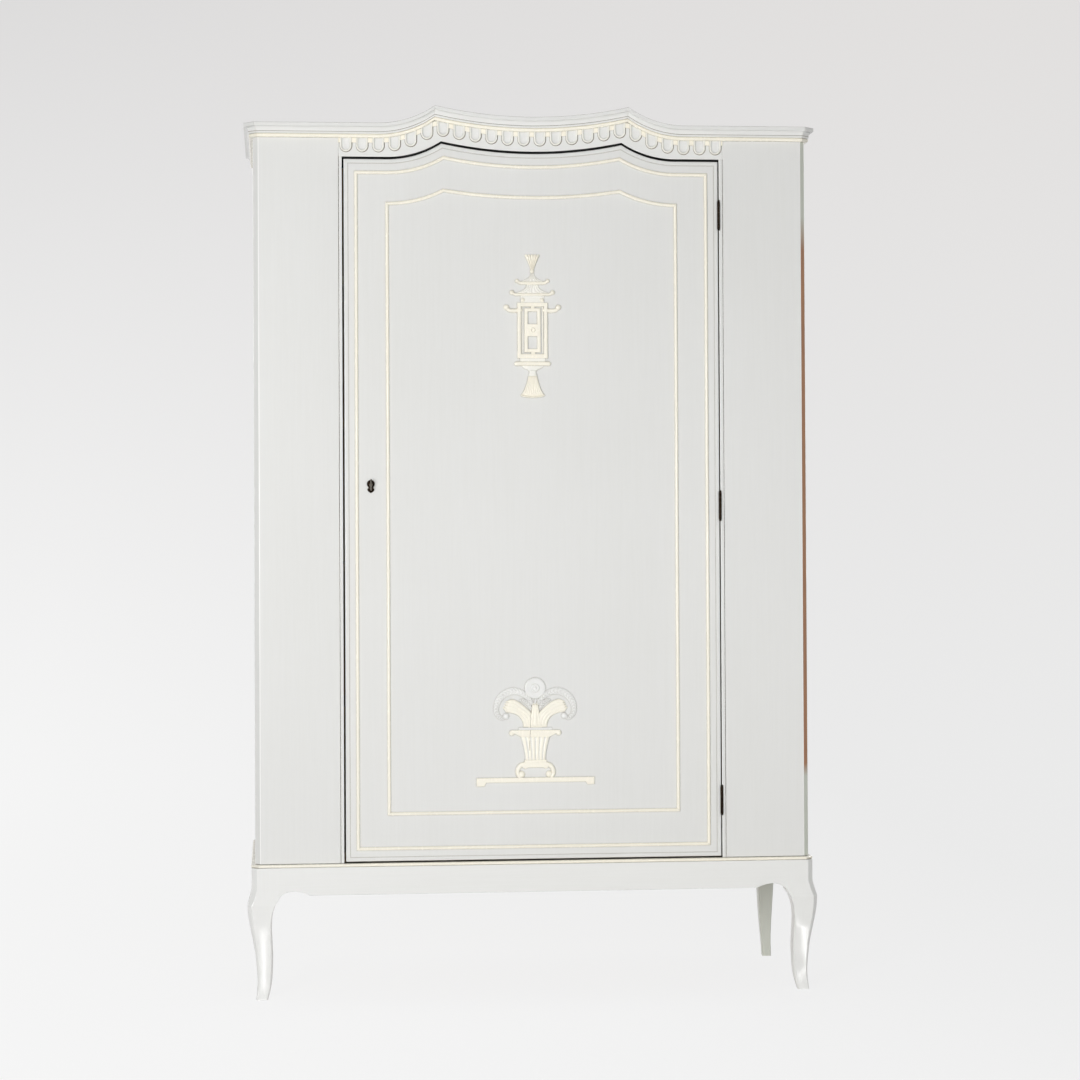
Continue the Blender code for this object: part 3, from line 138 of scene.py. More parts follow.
def paint(name, tone, shade, roughness, streaks, hollow_shade=0.0, gap_shade_within=0.0, split=None, worn=None):
    """Hand-brushed gloss paint: slow drifts of tone, faint brush streaks, painted shade in corners and
    grooves.

    A post's face to the door, within a distance of the centre plane, is near black: painted shade in the gap.
    A split is a fine crack between two points (x, z). Worn paint is rubbed to the wood between two heights."""
    finish = Finish(name)
    brush = finish.noise(streaks, 3.0, 0.6)
    drift = finish.ramp(finish.noise((2.1, 2.1, 1.4), 2.0))
    tone_share = finish.sum(drift, finish.ramp(brush, 0.35, 0.65, 0.0, 0.5))
    colour = finish.mix(finish.ramp(tone_share, 0.0, 1.5), tone, shade)
    if hollow_shade:
        colour = finish.mix(finish.hollows(hollow_shade), colour, DIRT_AND_SHADE)
    if gap_shade_within:
        # Painted shade: near black on the post's face towards the door, behind its front
        near = finish.sum(finish.sum(finish.axis("X"), 0.0, "ABSOLUTE"), gap_shade_within, "LESS_THAN")
        behind = finish.sum(finish.axis("Y"), FRONT + 0.5 * MM, "GREATER_THAN")
        colour = finish.mix(finish.sum(near, behind, "MULTIPLY"), colour, GAP_SHADE)
    if split:
        colour = finish.mix(finish.crack(*split), colour, DIRT_AND_SHADE)
    if worn:
        low, high = worn
        height = finish.sum(finish.axis("Z"), finish.ramp(brush, start=-6 * MM, end=6 * MM))
        rubbed = finish.sum(finish.ramp(height, low - 12 * MM, low + 16 * MM),
                            finish.ramp(height, high - 55 * MM, high + 22 * MM, 1.0, 0.0), "MULTIPLY")
        wood = finish.mix(finish.ramp(finish.noise((420, 420, 9), 3.0)), WORN_LIGHT, WORN_DARK)
        colour = finish.mix(finish.sum(rubbed, 0.9, "MULTIPLY"), colour, wood)
    peel = finish.sum(finish.noise((260, 260, 260), 1.0), 0.35, "MULTIPLY")
    return finish.coat(colour, brush, roughness * 0.85, roughness * 1.25, finish.sum(brush, peel), 0.03 * MM)


def bare_wood(name, light, dark, along):
    """Plain sawn and planed wood: long grain, pores and slow figure."""
    finish = Finish(name)
    across, fine = {"x": ((1.6, 26, 26), (9, 420, 420)), "z": ((26, 26, 1.6), (420, 420, 9))}[along]
    figure = finish.noise(across, 4.0, 0.6, 0.6)
    pores = finish.noise(fine, 2.0, 0.7)
    colour = finish.mix(finish.ramp(figure), light, dark)
    colour = finish.mix(finish.ramp(pores, 0.55, 0.75, 0.0, 0.45), colour, dark)
    return finish.coat(colour, figure, 0.48, 0.62, pores, 0.08 * MM)


def old_metal(name, bright, dull, roughness):
    """Darkened metal with a mottled patina, rubbed bright in places."""
    finish = Finish(name)
    finish.shader.inputs["Metallic"].default_value = 1.0
    patina = finish.noise((420, 420, 420), 4.0, 0.65)
    colour = finish.mix(finish.ramp(patina, 0.38, 0.68), dull, bright)
    pits = finish.noise((1500, 1500, 1500), 2.0)
    return finish.coat(colour, patina, roughness * 1.3, roughness * 0.8, pits, 0.03 * MM)


# Colours in 0-255 screen values, each paint with its tone and its shade
GREY = ((231, 231, 229), (227, 227, 224))
BASE_GREY = ((240, 240, 238), (236, 236, 233))
CREAM = ((255, 251, 238), (252, 246, 229))
# Dirt in the urn's split, and painted shade in corners and grooves and in the dark glaze
DIRT_AND_SHADE = (150, 138, 118)
WORN_LIGHT = (187, 119, 54)
WORN_DARK = (147, 84, 33)
# Near black, painted shade inside the door's gaps
GAP_SHADE = (18, 15, 13)
FLOOR_LEFT = (255, 255, 255)
FLOOR_RIGHT = (244, 244, 244)
WALL_LEFT = (228, 227, 227)
WALL_RIGHT = (234, 232, 231)
PAPER = (240, 240, 239)
# Brush streaks, as features per metre along each axis
UPRIGHT = (240, 240, 7)
LEVEL = (7, 240, 240)
FINE = (160, 160, 60)
HOLLOW_REACH = 3 * MM
CRACK_HALF = 0.5 * MM
CRACK_WAVE = 0.9 * MM
URN_SPLIT = ((-6.4 * MM, 0.622), (-10.8 * MM, 0.522))
WORN_HEIGHTS = (0.470, 1.650)
POST_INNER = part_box("door_post_right")[0].x

# A number after the streaks is the most share of painted shade in corners and grooves
grey_upright = paint("grey_paint_upright", *GREY, 0.2, UPRIGHT)
grey_level = paint("grey_paint_level", *GREY, 0.2, LEVEL)
door_grey = paint("grey_paint_door", *GREY, 0.2, UPRIGHT, 0.5)
carved_grey = paint("grey_paint_carved", (235, 235, 233), (231, 231, 228), 0.16, LEVEL, 0.3)
plume_grey = paint("grey_paint_plume", *BASE_GREY, 0.2, LEVEL, 0.4)
base_grey = paint("grey_paint_base", *BASE_GREY, 0.2, LEVEL)
leg_grey = paint("grey_paint_leg", *BASE_GREY, 0.12, UPRIGHT)
# Painted highlight: near-white paint on rounded arrises and in the cornice's quirk
arris_highlight = paint("grey_paint_arris_highlight", (255, 255, 253), (250, 250, 247), 0.16, UPRIGHT)
# Right cant: a darker grey-green that is painted shade, rubbed through to the wood between two heights
worn_shade_grey = paint("grey_paint_worn_shade", (222, 226, 214), (214, 217, 205), 0.3, UPRIGHT, worn=WORN_HEIGHTS)
# Painted shade: a darker grey-green copy of the grey for the back legs, which stand in shade under the case
shaded_grey = paint("grey_paint_shaded", (219, 222, 212), (215, 218, 208), 0.2, UPRIGHT)
# Painted shade: a dark grey for the thin line along the cornice's top arris
line_shade = paint("grey_paint_line_shade", (168, 166, 158), (160, 157, 148), 0.3, LEVEL)
cream_paint = paint("cream_paint", *CREAM, 0.24, FINE, 0.22)
split_cream = paint("cream_paint_split", *CREAM, 0.24, FINE, 0.22, split=URN_SPLIT)
ivory_paint = paint("ivory_paint", (248, 247, 241), (243, 241, 232), 0.24, FINE, 0.25)
# Painted shadow and shade: a dark glaze beside each frieze tongue, at the cornice's fillet and along each
# post's joint
shade_glaze = paint("shade_glaze", (98, 92, 82), DIRT_AND_SHADE, 0.4, LEVEL)
# Painted shade: dark paint on the moulding's top and riser, in the gap under the door
threshold_shade = paint("threshold_shade", (70, 64, 56), (50, 45, 39), 0.4, LEVEL)
post_grey = paint("grey_paint_post", *GREY, 0.2, UPRIGHT, gap_shade_within=POST_INNER + 0.5 * MM)
shelf_wood = bare_wood("shelf_wood", (203, 172, 130), (168, 132, 90), "x")
back_wood = bare_wood("back_wood", (196, 164, 122), (160, 124, 84), "z")
# Painted shade: near-black wood for the door's edges, the frieze's underside and the top rail, inside the
# gaps
gap_shade = bare_wood("gap_shade", GAP_SHADE, (8, 7, 6), "z")
steel = old_metal("lock_steel", (150, 144, 134), (46, 41, 36), 0.3)
brass = old_metal("dark_brass", (52, 40, 30), (8, 7, 6), 0.45)

# The finish of each solid, by the start of its name, and the solids whose edges are eased
# The top rail, seen through the gap over the door, takes the near-black paint as painted shade
SOLID_FINISHES = ((("shelf", "bottom_board", "top_board"), shelf_wood), ("top_rail", gap_shade),
                  ("back_panel", back_wood), (("lock", "strike", "key"), steel),
                  (("hinge", "escutcheon"), brass),
                  (("bead", "lantern", "urn", "base_moulding"), cream_paint), ("door_post", post_grey),
                  (("cornice", "frieze"), grey_level), ("apron", base_grey), ("", grey_upright))
BOARDS = ("shelf", "side_board", "bottom_board", "top_board", "top_rail", "back_panel", "door_post",
          "apron_back", "lock", "strike", "hinge")
for name, node in NODES.items():
    node.data.materials.clear()
    node.data.materials.append(next(finish for starts, finish in SOLID_FINISHES if name.startswith(starts)))
    if name.startswith(BOARDS):
        eased_edges = node.modifiers.new("eased_edges", "BEVEL")
        eased_edges.width = 0.7 * MM
        eased_edges.segments = 2


# Mesh helpers

def skin(solid, rings, caps=True, paints=0, levels=None):
    """Join closed rings of points in order.

    The material index is one number, or one for each side of the ring, or one for each level."""
    rows = [[solid.verts.new(point) for point in ring] for ring in rings]
    for level, (low, high) in enumerate(zip(rows, rows[1:])):
        for i in range(len(low)):
            j = (i + 1) % len(low)
            face = solid.faces.new((low[i], low[j], high[j], high[i]))
            side = paints if isinstance(paints, int) else paints[i]
            face.material_index = levels[level] if levels else side
    if caps:
        for row in (rows[0], rows[-1]):
            solid.faces.new(row).material_index = paints if isinstance(paints, int) else paints[0]
    return rows


def fill(solid, *loops):
    """Fill flat loops of vertices, the first outside and the others as holes."""
    edges = []
    for loop in loops:
        for i, vert in enumerate(loop):
            other = loop[(i + 1) % len(loop)]
            edges.append(solid.edges.get((vert, other)) or solid.edges.new((vert, other)))
    bmesh.ops.triangle_fill(solid, edges=edges, use_beauty=True)


def add_piece(name, solid, materials, stands_for=(), body="case", sharp=32):
    """Make one piece of the looks from a solid in the row frame, riding on a body."""
    bmesh.ops.recalc_face_normals(solid, faces=solid.faces)
    mesh = bpy.data.meshes.new(name)
    solid.to_mesh(mesh)
    solid.free()
    mesh.shade_smooth()
    mesh.set_sharp_from_angle(angle=radians(sharp))
    for material in materials:
        mesh.materials.append(material)
    piece = bpy.data.objects.new(name, mesh)
    bpy.context.collection.objects.link(piece)
    weighted = piece.modifiers.new("weighted_normals", "WEIGHTED_NORMAL")
    weighted.keep_sharp = True
    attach(piece, body)
    if stands_for:
        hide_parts(*stands_for)


def facing(outline, y):
    """The points of an (x, z) outline at one depth."""
    return [Vector((x, y, z)) for x, z in outline]


def lying(plan, z, side=1):
    """The points of an (x, y) plan at one height, on the right or mirrored to the left."""
    return [Vector((side * x, y, z)) for x, y in plan]


def arc(across, up, radius, start, end, steps, rise=None):
    """Points on part of a circle, or of an ellipse with its own rise, between two angles in quarter turns."""
    angles = [pi / 2 * (start + (end - start) * i / steps) for i in range(steps + 1)]
    return [(across + radius * cos(angle), up + (rise or radius) * sin(angle)) for angle in angles]


def mitre_sides(points, up, closed=False):
    """For each point of a path, the vector that keeps an offset of one unit square to both its segments."""
    points = [Vector(point) for point in points]
    count = len(points)
    normals = []
    for i in range(count if closed else count - 1):
        along = points[(i + 1) % count] - points[i]
        along -= up * along.dot(up)
        normals.append(along.normalized().cross(up))
    sides = []
    for i in range(count):
        before = normals[i - 1] if closed or i > 0 else normals[0]
        after = normals[i] if i < len(normals) else normals[-1]
        sides.append((before + after) / (1.0 + before.dot(after)))
    return sides


def sweep(path, sides, start, end, up, profile, paints=0):
    """A closed profile of (outward, upward) points along part of a path, with a joint's gap at both ends."""
    points = [Vector(point) for point in path[start:end + 1]]
    points[0] = points[0] + (points[1] - points[0]).normalized() * JOINT
    points[-1] = points[-1] + (points[-2] - points[-1]).normalized() * JOINT
    solid = bmesh.new()
    skin(solid, [[p + side * out + up * rise for out, rise in profile]
                 for p, side in zip(points, sides[start:end + 1])], paints=paints)
    return solid


def inset(outline, distance):
    """Move each edge of an anticlockwise (x, z) outline inward by one distance."""
    flat = facing(outline, 0.0)
    sides = mitre_sides(flat, Vector((0, 1, 0)), closed=True)
    return [((p + s * distance).x, (p + s * distance).z) for p, s in zip(flat, sides)]


def eased(points, radius, steps=4):
    """Round the corners of a closed outline of 2-D points."""
    rounded = []
    count = len(points)
    for i in range(count):
        before, here, after = (Vector(points[k % count]) for k in (i - 1, i, i + 1))
        into, out = before - here, after - here
        start = here + into.normalized() * min(radius, into.length * 0.45)
        end = here + out.normalized() * min(radius, out.length * 0.45)
        for k in range(steps + 1):
            t = k / steps
            rounded.append(tuple(start * (1 - t) ** 2 + here * 2 * t * (1 - t) + end * t ** 2))
    return rounded


def slab(solid, outline, front, back, ease, paints=0, steps=4, levels=None):
    """A board seen from the front, given by an anticlockwise (x, z) outline, with rounded front edges."""
    stations = [(0.0, back)] + arc(ease, front + ease, ease, 2, 3, steps)
    rings = [facing(inset(outline, distance) if distance else outline, y) for distance, y in stations]
    skin(solid, rings, paints=paints, levels=levels)


def upright(solid, plan, side, low, high, ease, last=0):
    """A standing piece given by its plan of (x, y) points; its rounded corners take the second material, a
    painted highlight.
    """
    outline = eased([(side * x, y) for x, y in plan], ease)
    paints = ([1] * 4 + [0]) * len(plan)
    paints[-1] = last
    skin(solid, [lying(outline, z) for z in (low, high)], paints=paints)


def curve(points, steps=5):
    """A smooth curve through tuples of numbers."""
    rows = [Vector(p) for p in points]
    smooth = []
    for i, (start, end) in enumerate(zip(rows, rows[1:])):
        before, after = rows[max(i - 1, 0)], rows[min(i + 2, len(rows) - 1)]
        for k in range(steps):
            t = k / steps
            smooth.append(tuple(0.5 * (2 * start + (end - before) * t
                                       + (2 * before - 5 * start + 4 * end - after) * t ** 2
                                       + (3 * start - before - 3 * end + after) * t ** 3)))
    return smooth + [tuple(rows[-1])]


# Lines of the case front

CORNICE_HEIGHT = 30 * MM
FRIEZE_HEIGHT = 40 * MM
CORNER_CANT = 11 * MM
CROSSBOW_SHOULDER = 212 * MM
CORNICE_BOW = (208 * MM, 38.5 * MM, 15.5 * MM)
DOOR_BOW = (194.5 * MM, 34.5 * MM, 13.8 * MM)
INNER_BOW = (190 * MM, 28.7 * MM, 14.4 * MM)
INNER_SHOULDER = 262 * MM
JOINT = 0.15 * MM
TONGUE_COUNT = 24
TONGUE_PITCH = 34.6 * MM
TONGUE_WIDTH = 24.6 * MM
TONGUE_LENGTH = 29.5 * MM
SHADOW_SKIRT_LEFT = 0.5 * MM
SHADOW_SKIRT_RIGHT = 1.9 * MM
DROP_HEIGHT = 10 * MM
DROP_PROUD = 3 * MM
# A tongue's relief from its edge inward, as (distance, rise) in millimetres: a dark skirt of painted shadow
# beyond the edge, rim, hollow
TONGUE_PROFILE = [(-1.0, -1.0), (-1.0, 0.1), (0.0, 0.15), (0.0, 3.4), (0.2, 4.3), (0.7, 4.9), (1.5, 5.1),
                  (2.4, 4.9), (3.2, 4.0), (3.9, 2.6), (4.8, 1.4), (6.4, 0.8), (9.2, 0.5), (12.2, 0.4)]
SHADOW_SKIRT_LEVELS = 2
RIM_LEVELS = 8
TONGUE_STEPS = 16
BASE = 0.2
DOOR_EASE = 0.0012
DOOR_ROUNDING = 3.0 * MM
MOULDING_INNER = 12 * MM
POST_GAP = {-1: 3.1 * MM, 1: 2.0 * MM}
POST_EDGE = 2.4 * MM

door_low, door_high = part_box("door_panel")
HALF_DOOR = door_high.x
DOOR_FOOT = door_low.z
DOOR_TOP = door_high.z - DOOR_BOW[1]
DOOR_BACK = door_high.y
CORNICE_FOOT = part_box("cornice_return_left")[0].z
OPENING_TOP = CORNICE_FOOT - FRIEZE_HEIGHT
POST_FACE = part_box("door_post_left")[0].y


def crossbow(half_span, bow, shoulder, height, inward=0.0, steps=14):
    """The crossbow line, left to right, as (x, z): straight, a rising arc to a cusp, a sagging middle."""
    cusp_at, cusp_rise, dip_rise = bow
    sag = cusp_rise - dip_rise
    middle_radius = (cusp_at ** 2 + sag ** 2) / (2 * sag)
    middle = Vector((0.0, dip_rise + middle_radius))
    side = Vector((-cusp_at - sqrt(shoulder ** 2 - (shoulder - cusp_rise) ** 2), shoulder))
    side_radius, middle_radius = shoulder + inward, middle_radius + inward
    apart = (middle - side).length
    along = (side_radius ** 2 - middle_radius ** 2 + apart ** 2) / (2 * apart)
    toward = (middle - side) / apart
    down = Vector((toward.y, -toward.x))
    cusp = side + toward * along + down * sqrt(side_radius ** 2 - along ** 2)
    turn = asin((cusp.x - side.x) / side_radius)
    left = [(-half_span, -inward)] + arc(side.x, side.y, side_radius, -1, turn / (pi / 2) - 1, steps)
    for i in range(1, steps):
        x = cusp.x * (1 - i / steps)
        left.append((x, middle.y - sqrt(middle_radius ** 2 - x ** 2)))
    line = left + [(0.0, middle.y - middle_radius)] + [(-x, rise) for x, rise in left[::-1]]
    return [(x, rise + height) for x, rise in line]


def height_at(line, x):
    """The height of a crossbow line at one place."""
    for (x0, z0), (x1, z1) in zip(line, line[1:]):
        if x0 <= x <= x1:
            return z0 + (z1 - z0) * (x - x0) / (x1 - x0)
    return line[0][1]


# Case

def build_panels():
    """The fixed panels beside the door, with canted outer corners, and the raised edges of the posts."""
    for way, side in SIDES:
        low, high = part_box(f"front_panel_{way}")
        near, far = sorted((abs(low.x), abs(high.x)))
        plan = [(far, low.y + CORNER_CANT), (far, high.y), (near, high.y), (near, low.y),
                (far - CORNER_CANT, low.y)]
        solid = bmesh.new()
        # Rounded corners take the lighter paint, a painted highlight; the right cant takes the painted shade
        # grey with its rubbed wood
        upright(solid, plan, side, low.z + 0.3 * MM, high.z, 1.0 * MM, 2 if side > 0 else 0)
        add_piece(f"panel_{way}", solid, [grey_upright, arris_highlight, worn_shade_grey], [f"front_panel_{way}"])
        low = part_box(f"door_post_{way}")[0]
        near, far = HALF_DOOR + POST_GAP[side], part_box("frieze_board")[1].x - 0.5 * MM
        face, foot = low.y - 0.3 * MM, low.y + POST_EDGE
        solid = bmesh.new()
        plan = [(near, face), (far, face), (far, foot), (near, foot)]
        upright(solid, plan, side, low.z, OPENING_TOP, 1.1 * MM)
        # A thin strip of dark glaze along the joint beside the panel: painted shade
        start, end = far - 0.3 * MM, far + 0.7 * MM
        joint = [(start, low.y), (end, low.y), (end, foot), (start, foot)]
        skin(solid, [lying(joint, z, side) for z in (low.z, OPENING_TOP)], paints=2)
        add_piece(f"post_edge_{way}", solid, [grey_upright, arris_highlight, shade_glaze])


def build_frieze():
    """Ground board, hanging tongues with hollow gutters, and the square drops between them."""
    node_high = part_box("frieze_board")[1]
    half = node_high.x
    top = crossbow(half, CORNICE_BOW, CROSSBOW_SHOULDER, CORNICE_FOOT - JOINT)
    bottom = crossbow(half, DOOR_BOW, CROSSBOW_SHOULDER, OPENING_TOP)
    ground = bmesh.new()
    # The ground's lower edge takes the near-black paint, painted shade over the door, and its front arris the
    # lighter paint, a painted highlight
    slab(ground, bottom + top[::-1], POST_FACE, node_high.y, 1.3 * MM, levels=[1, 2, 2, 0, 0])
    for face in ground.faces:
        middle = face.calc_center_median()
        if middle.z > height_at(top, middle.x) - FRIEZE_HEIGHT / 2:
            face.material_index = 0
    add_piece("frieze_ground", ground, [carved_grey, gap_shade, arris_highlight], ["frieze_board"])

    tongues = bmesh.new()
    radius = TONGUE_WIDTH / 2
    last = TONGUE_STEPS + 2
    for i in range(TONGUE_COUNT):
        x = (i - (TONGUE_COUNT - 1) / 2) * TONGUE_PITCH
        centre = height_at(top, x) - TONGUE_LENGTH + radius
        rows = []
        for distance, rise in TONGUE_PROFILE:
            y = POST_FACE - rise * MM
            row = []
            for k in range(last + 1):
                # Rows beyond the edge are a skirt of dark glaze on the ground, a painted shadow, wider
                # towards the right
                beyond_edge = SHADOW_SKIRT_LEFT + (SHADOW_SKIRT_RIGHT - SHADOW_SKIRT_LEFT) * k / last if distance < 0 else -distance * MM
                reach = radius + beyond_edge
                angle = pi * (k - 1) / TONGUE_STEPS
                if k in (0, last):
                    edge_x = x + (reach if k else -reach)
                    row.append((edge_x, y, height_at(top, edge_x)))
                else:
                    row.append((x - reach * cos(angle), y, centre - reach * sin(angle)))
            rows.append([tongues.verts.new(point) for point in row])
        for level, (outer, inner) in enumerate(zip(rows, rows[1:])):
            for k in range(last):
                face = tongues.faces.new((outer[k], outer[k + 1], inner[k + 1], inner[k]))
                face.material_index = 2 if level < SHADOW_SKIRT_LEVELS else int(level > RIM_LEVELS)
        end = rows[-1]
        middle = last // 2
        for k in range(middle - 1):
            tongues.faces.new((end[k], end[k + 1], end[-2 - k], end[-1 - k])).material_index = 1
        tongues.faces.new(end[middle - 1:middle + 2]).material_index = 1
        tongues.faces.new(rows[0]).material_index = 1
        tongues.faces.new([row[0] for row in rows] + [row[-1] for row in rows[::-1]])
    add_piece("frieze_tongues", tongues, [ivory_paint, carved_grey, shade_glaze], sharp=50)

    drops = bmesh.new()
    gap = TONGUE_PITCH - TONGUE_WIDTH
    for i in range(TONGUE_COUNT + 1):
        x = (i - TONGUE_COUNT / 2) * TONGUE_PITCH
        left, right = max(x - gap / 2, -half), min(x + gap / 2, half)
        under_left, under_right = height_at(top, left), height_at(top, right)
        outline = [(left, under_left - DROP_HEIGHT), (right, under_right - DROP_HEIGHT),
                   (right, under_right), (left, under_left)]
        slab(drops, outline, POST_FACE - DROP_PROUD, POST_FACE + 1 * MM, 0.8 * MM, steps=3)
    add_piece("frieze_drops", drops, [cream_paint])


def cornice_profile():
    """Half-round bead, fillet, cove and fascia, with the material of each side."""
    points = [(-12.0, 0.0)] + arc(4.5, 4.0, 4.0, -1, 1, 12)
    points += [(8.9, 8.1), (9.5, 8.7), (9.5, 11.7), (9.8, 12.5)] + arc(17.5, 12.7, 7.6, 2, 1, 8, 9.3)
    points += [(19.1, 22.0), (19.5, 22.4), (19.5, 29.4), (18.9, 30.0), (-12.0, 30.0)]
    # The quirk under the fillet takes the lighter paint, a painted highlight; the fillet's top takes the dark
    # glaze and the top arris the dark line grey, both painted shade
    paints = [1] * 13 + [3, 3, 0, 4, 4] + [0] * 11 + [2, 0, 0]
    return [(out * MM, rise * MM) for out, rise in points], paints


def round_the_case(z, middle):
    """A path at one height along the left side, the front and the right side, and its mitres."""
    left = [Vector((-HALF_CASE, BACK, z)), Vector((-HALF_CASE, FRONT + CORNER_CANT, z))]
    path = left + facing(middle, FRONT) + [Vector((-p.x, p.y, p.z)) for p in left[::-1]]
    return path, mitre_sides(path, Vector((0, 0, 1)))


def build_cornice():
    """The cornice in five mitred lengths, with its cream bead."""
    line = crossbow(HALF_CASE - CORNER_CANT, CORNICE_BOW, CROSSBOW_SHOULDER, CORNICE_FOOT)
    path, sides = round_the_case(CORNICE_FOOT, line)
    cusps = [i for i, p in enumerate(path) if abs(abs(p.x) - CORNICE_BOW[0]) < JOINT]
    first, last, corner = cusps[0], cusps[-1], len(path) - 3
    profile, paints = cornice_profile()
    for name, start, end in (("return_left", 0, 2), ("front_left", 2, first), ("front_centre", first, last),
                             ("front_right", last, corner), ("return_right", corner, len(path) - 1)):
        solid = sweep(path, sides, start, end, Vector((0, 0, 1)), profile, paints)
        add_piece(f"moulding_cornice_{name}", solid,
                  [carved_grey, cream_paint, line_shade, arris_highlight, shade_glaze], [f"cornice_{name}"],
                  sharp=28)


def build_base_moulding():
    """The cream moulding between base and case; its front length is the dark threshold under the door too."""
    low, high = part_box("base_moulding_front")
    height = high.z - low.z
    nose = height / 2 - 0.2 * MM
    rounding = arc(FRONT - low.y - nose, nose, nose, -1, 1, 12)
    corner = HALF_CASE - CORNER_CANT
    path, sides = round_the_case(low.z, [(-corner, low.z), (corner, low.z)])
    for name, start, end, inner in (("left", 0, 2, MOULDING_INNER), ("front", 2, 3, high.y - FRONT),
                                    ("right", 3, 5, MOULDING_INNER)):
        profile = [(-inner, 0.0)] + rounding + [(-2.4 * MM, 2 * nose), (-2.6 * MM, height), (-inner, height)]
        # The top and the riser behind the nose are painted dark as painted shade
        solid = sweep(path, sides, start, end, Vector((0, 0, 1)), profile, [0] * 14 + [1, 1, 0])
        add_piece(f"moulding_base_{name}", solid, [cream_paint, threshold_shade], [f"base_moulding_{name}"],
                  sharp=28)


# Base

LEG_PROUD = 7.5 * MM
# Front leg in millimetres: height, set-back of the outer faces, reach of the inner faces, cant, eased edges
FRONT_LEG = [(0, 8.8, 33.5, 2.0, 2.0), (23, 11.0, 39.5, 2.5, 3.0), (48, 11.6, 43.0, 3.0, 3.5),
             (82, 8.8, 44.5, 4.2, 3.5), (105, 6.0, 44.3, 5.2, 3.5), (132, 1.2, 43.0, 6.5, 3.2),
             (157, -4.0, 42.2, 7.5, 2.8), (182, -7.8, 44.2, 8.5, 2.0), (202, -9.0, 49.8, 9.2, 1.2)]
FRONT_LEG_TOP = [(214, -5.6, 57.5, 11.0, 0.3), (234, 0.0, 57.5, 11.0, 0.3)]
# Back leg, as height, set-back of the outer face, reach of the inner face
BACK_LEG = [(0, 6.0, 26.0), (45, 7.0, 29.5), (85, 6.0, 33.0), (150, 3.0, 37.0), (200, 0.5, 38.0)]
LEG_INNER_EASE = 8.0
KNEE_FRONT_SHARE = 0.45


def leg_ring(station, side, corner, depth_way, inner_ease, set_back=0.0):
    """One cut through a leg, with each corner rounded."""
    height, near, far, cant, ease = station
    front = near * KNEE_FRONT_SHARE if near < 0 else near
    square = [(near + cant, front), (far - ease, front), (far, front + ease), (far, far - inner_ease),
              (far - inner_ease, far), (near + ease, far), (near, far - ease), (near, front + cant)]
    ring = eased(square, max(0.2, 1.6 * min(1.0, ease)), 3)
    return [Vector((side * (corner[0] - a * MM), corner[1] + depth_way * (b - set_back) * MM, height * MM))
            for a, b in ring]


def build_legs():
    """Canted cabriole front legs and plain tapered back legs."""
    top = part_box("front_leg_left")[1].z / MM
    stations = curve(FRONT_LEG) + curve(FRONT_LEG_TOP, 3) + [(top, *FRONT_LEG_TOP[-1][1:])]
    corner = (HALF_CASE + LEG_PROUD, FRONT - LEG_PROUD)
    for way, side in SIDES:
        solid = bmesh.new()
        skin(solid, [leg_ring(station, side, corner, 1, LEG_INNER_EASE) for station in stations])
        add_piece(f"leg_front_{way}", solid, [leg_grey], [f"front_leg_{way}"], sharp=40)
    stations = curve(BACK_LEG) + [(top, 0.0, 38.0)]
    corner = (HALF_CASE + LEG_PROUD, BACK)
    for way, side in SIDES:
        solid = bmesh.new()
        skin(solid, [leg_ring((height, outer, inner, 2.0, 2.0), side, corner, -1, 2.0, outer)
                     for height, outer, inner in stations])
        add_piece(f"leg_back_{way}", solid, [shaded_grey], [f"back_leg_{way}"], sharp=40)


def apron_outline(start, end, top):
    """Apron in elevation: straight top, and a bottom that arches up beside each leg."""
    peak, foot, peak_at = top - 49.7 * MM, top - 58.7 * MM, 30 * MM
    leg_radius, cusp_radius = 36 * MM, 74.5 * MM
    cusp_run = sqrt(cusp_radius ** 2 - (cusp_radius - (peak - foot)) ** 2)
    arch = []
    for i in range(13):
        away = peak_at * (1 - i / 12)
        arch.append((peak_at - away, peak - leg_radius + sqrt(leg_radius ** 2 - away ** 2)))
    for i in range(1, 9):
        away = cusp_run * i / 8
        arch.append((peak_at + away, peak - cusp_radius + sqrt(cusp_radius ** 2 - away ** 2)))
    return ([(start + along, z) for along, z in arch] + [(end - along, z) for along, z in arch[::-1]]
            + [(end, top), (start, top)])


def build_aprons():
    """Front and side aprons with bracket arches."""
    low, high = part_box("apron_front")
    solid = bmesh.new()
    slab(solid, apron_outline(low.x - 1 * MM, high.x + 1 * MM, high.z), low.y, high.y, 1.0 * MM)
    add_piece("apron_face_front", solid, [base_grey], ["apron_front"])
    for way, side in SIDES:
        low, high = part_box(f"apron_{way}")
        outer, inner = (low.x, high.x) if side < 0 else (high.x, low.x)
        solid = bmesh.new()
        slab(solid, apron_outline(low.y - 1 * MM, high.y + 1 * MM, high.z), 0.0, abs(inner - outer), 1.0 * MM)
        for vert in solid.verts:
            along, depth, height = vert.co
            vert.co = (outer - side * depth, along, height)
        add_piece(f"apron_face_{way}", solid, [base_grey], [f"apron_{way}"])


# Door

KEY_PLACE = (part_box("escutcheon")[0].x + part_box("escutcheon")[1].x) / 2
KEY_HEIGHT = 1091 * MM
BEAD_WIDTH = 7 * MM
BEAD_PROUD = 4.5 * MM


def keyhole(radius, slot_half, slot_reach):
    """A keyhole in elevation: a round hole with a slot that hangs from it."""
    share = asin(slot_half / radius) / (pi / 2)
    foot = KEY_HEIGHT - slot_reach
    return (arc(KEY_PLACE, KEY_HEIGHT, radius, share - 1, 3 - share, 20)
            + [(KEY_PLACE - slot_half, foot), (KEY_PLACE + slot_half, foot)])


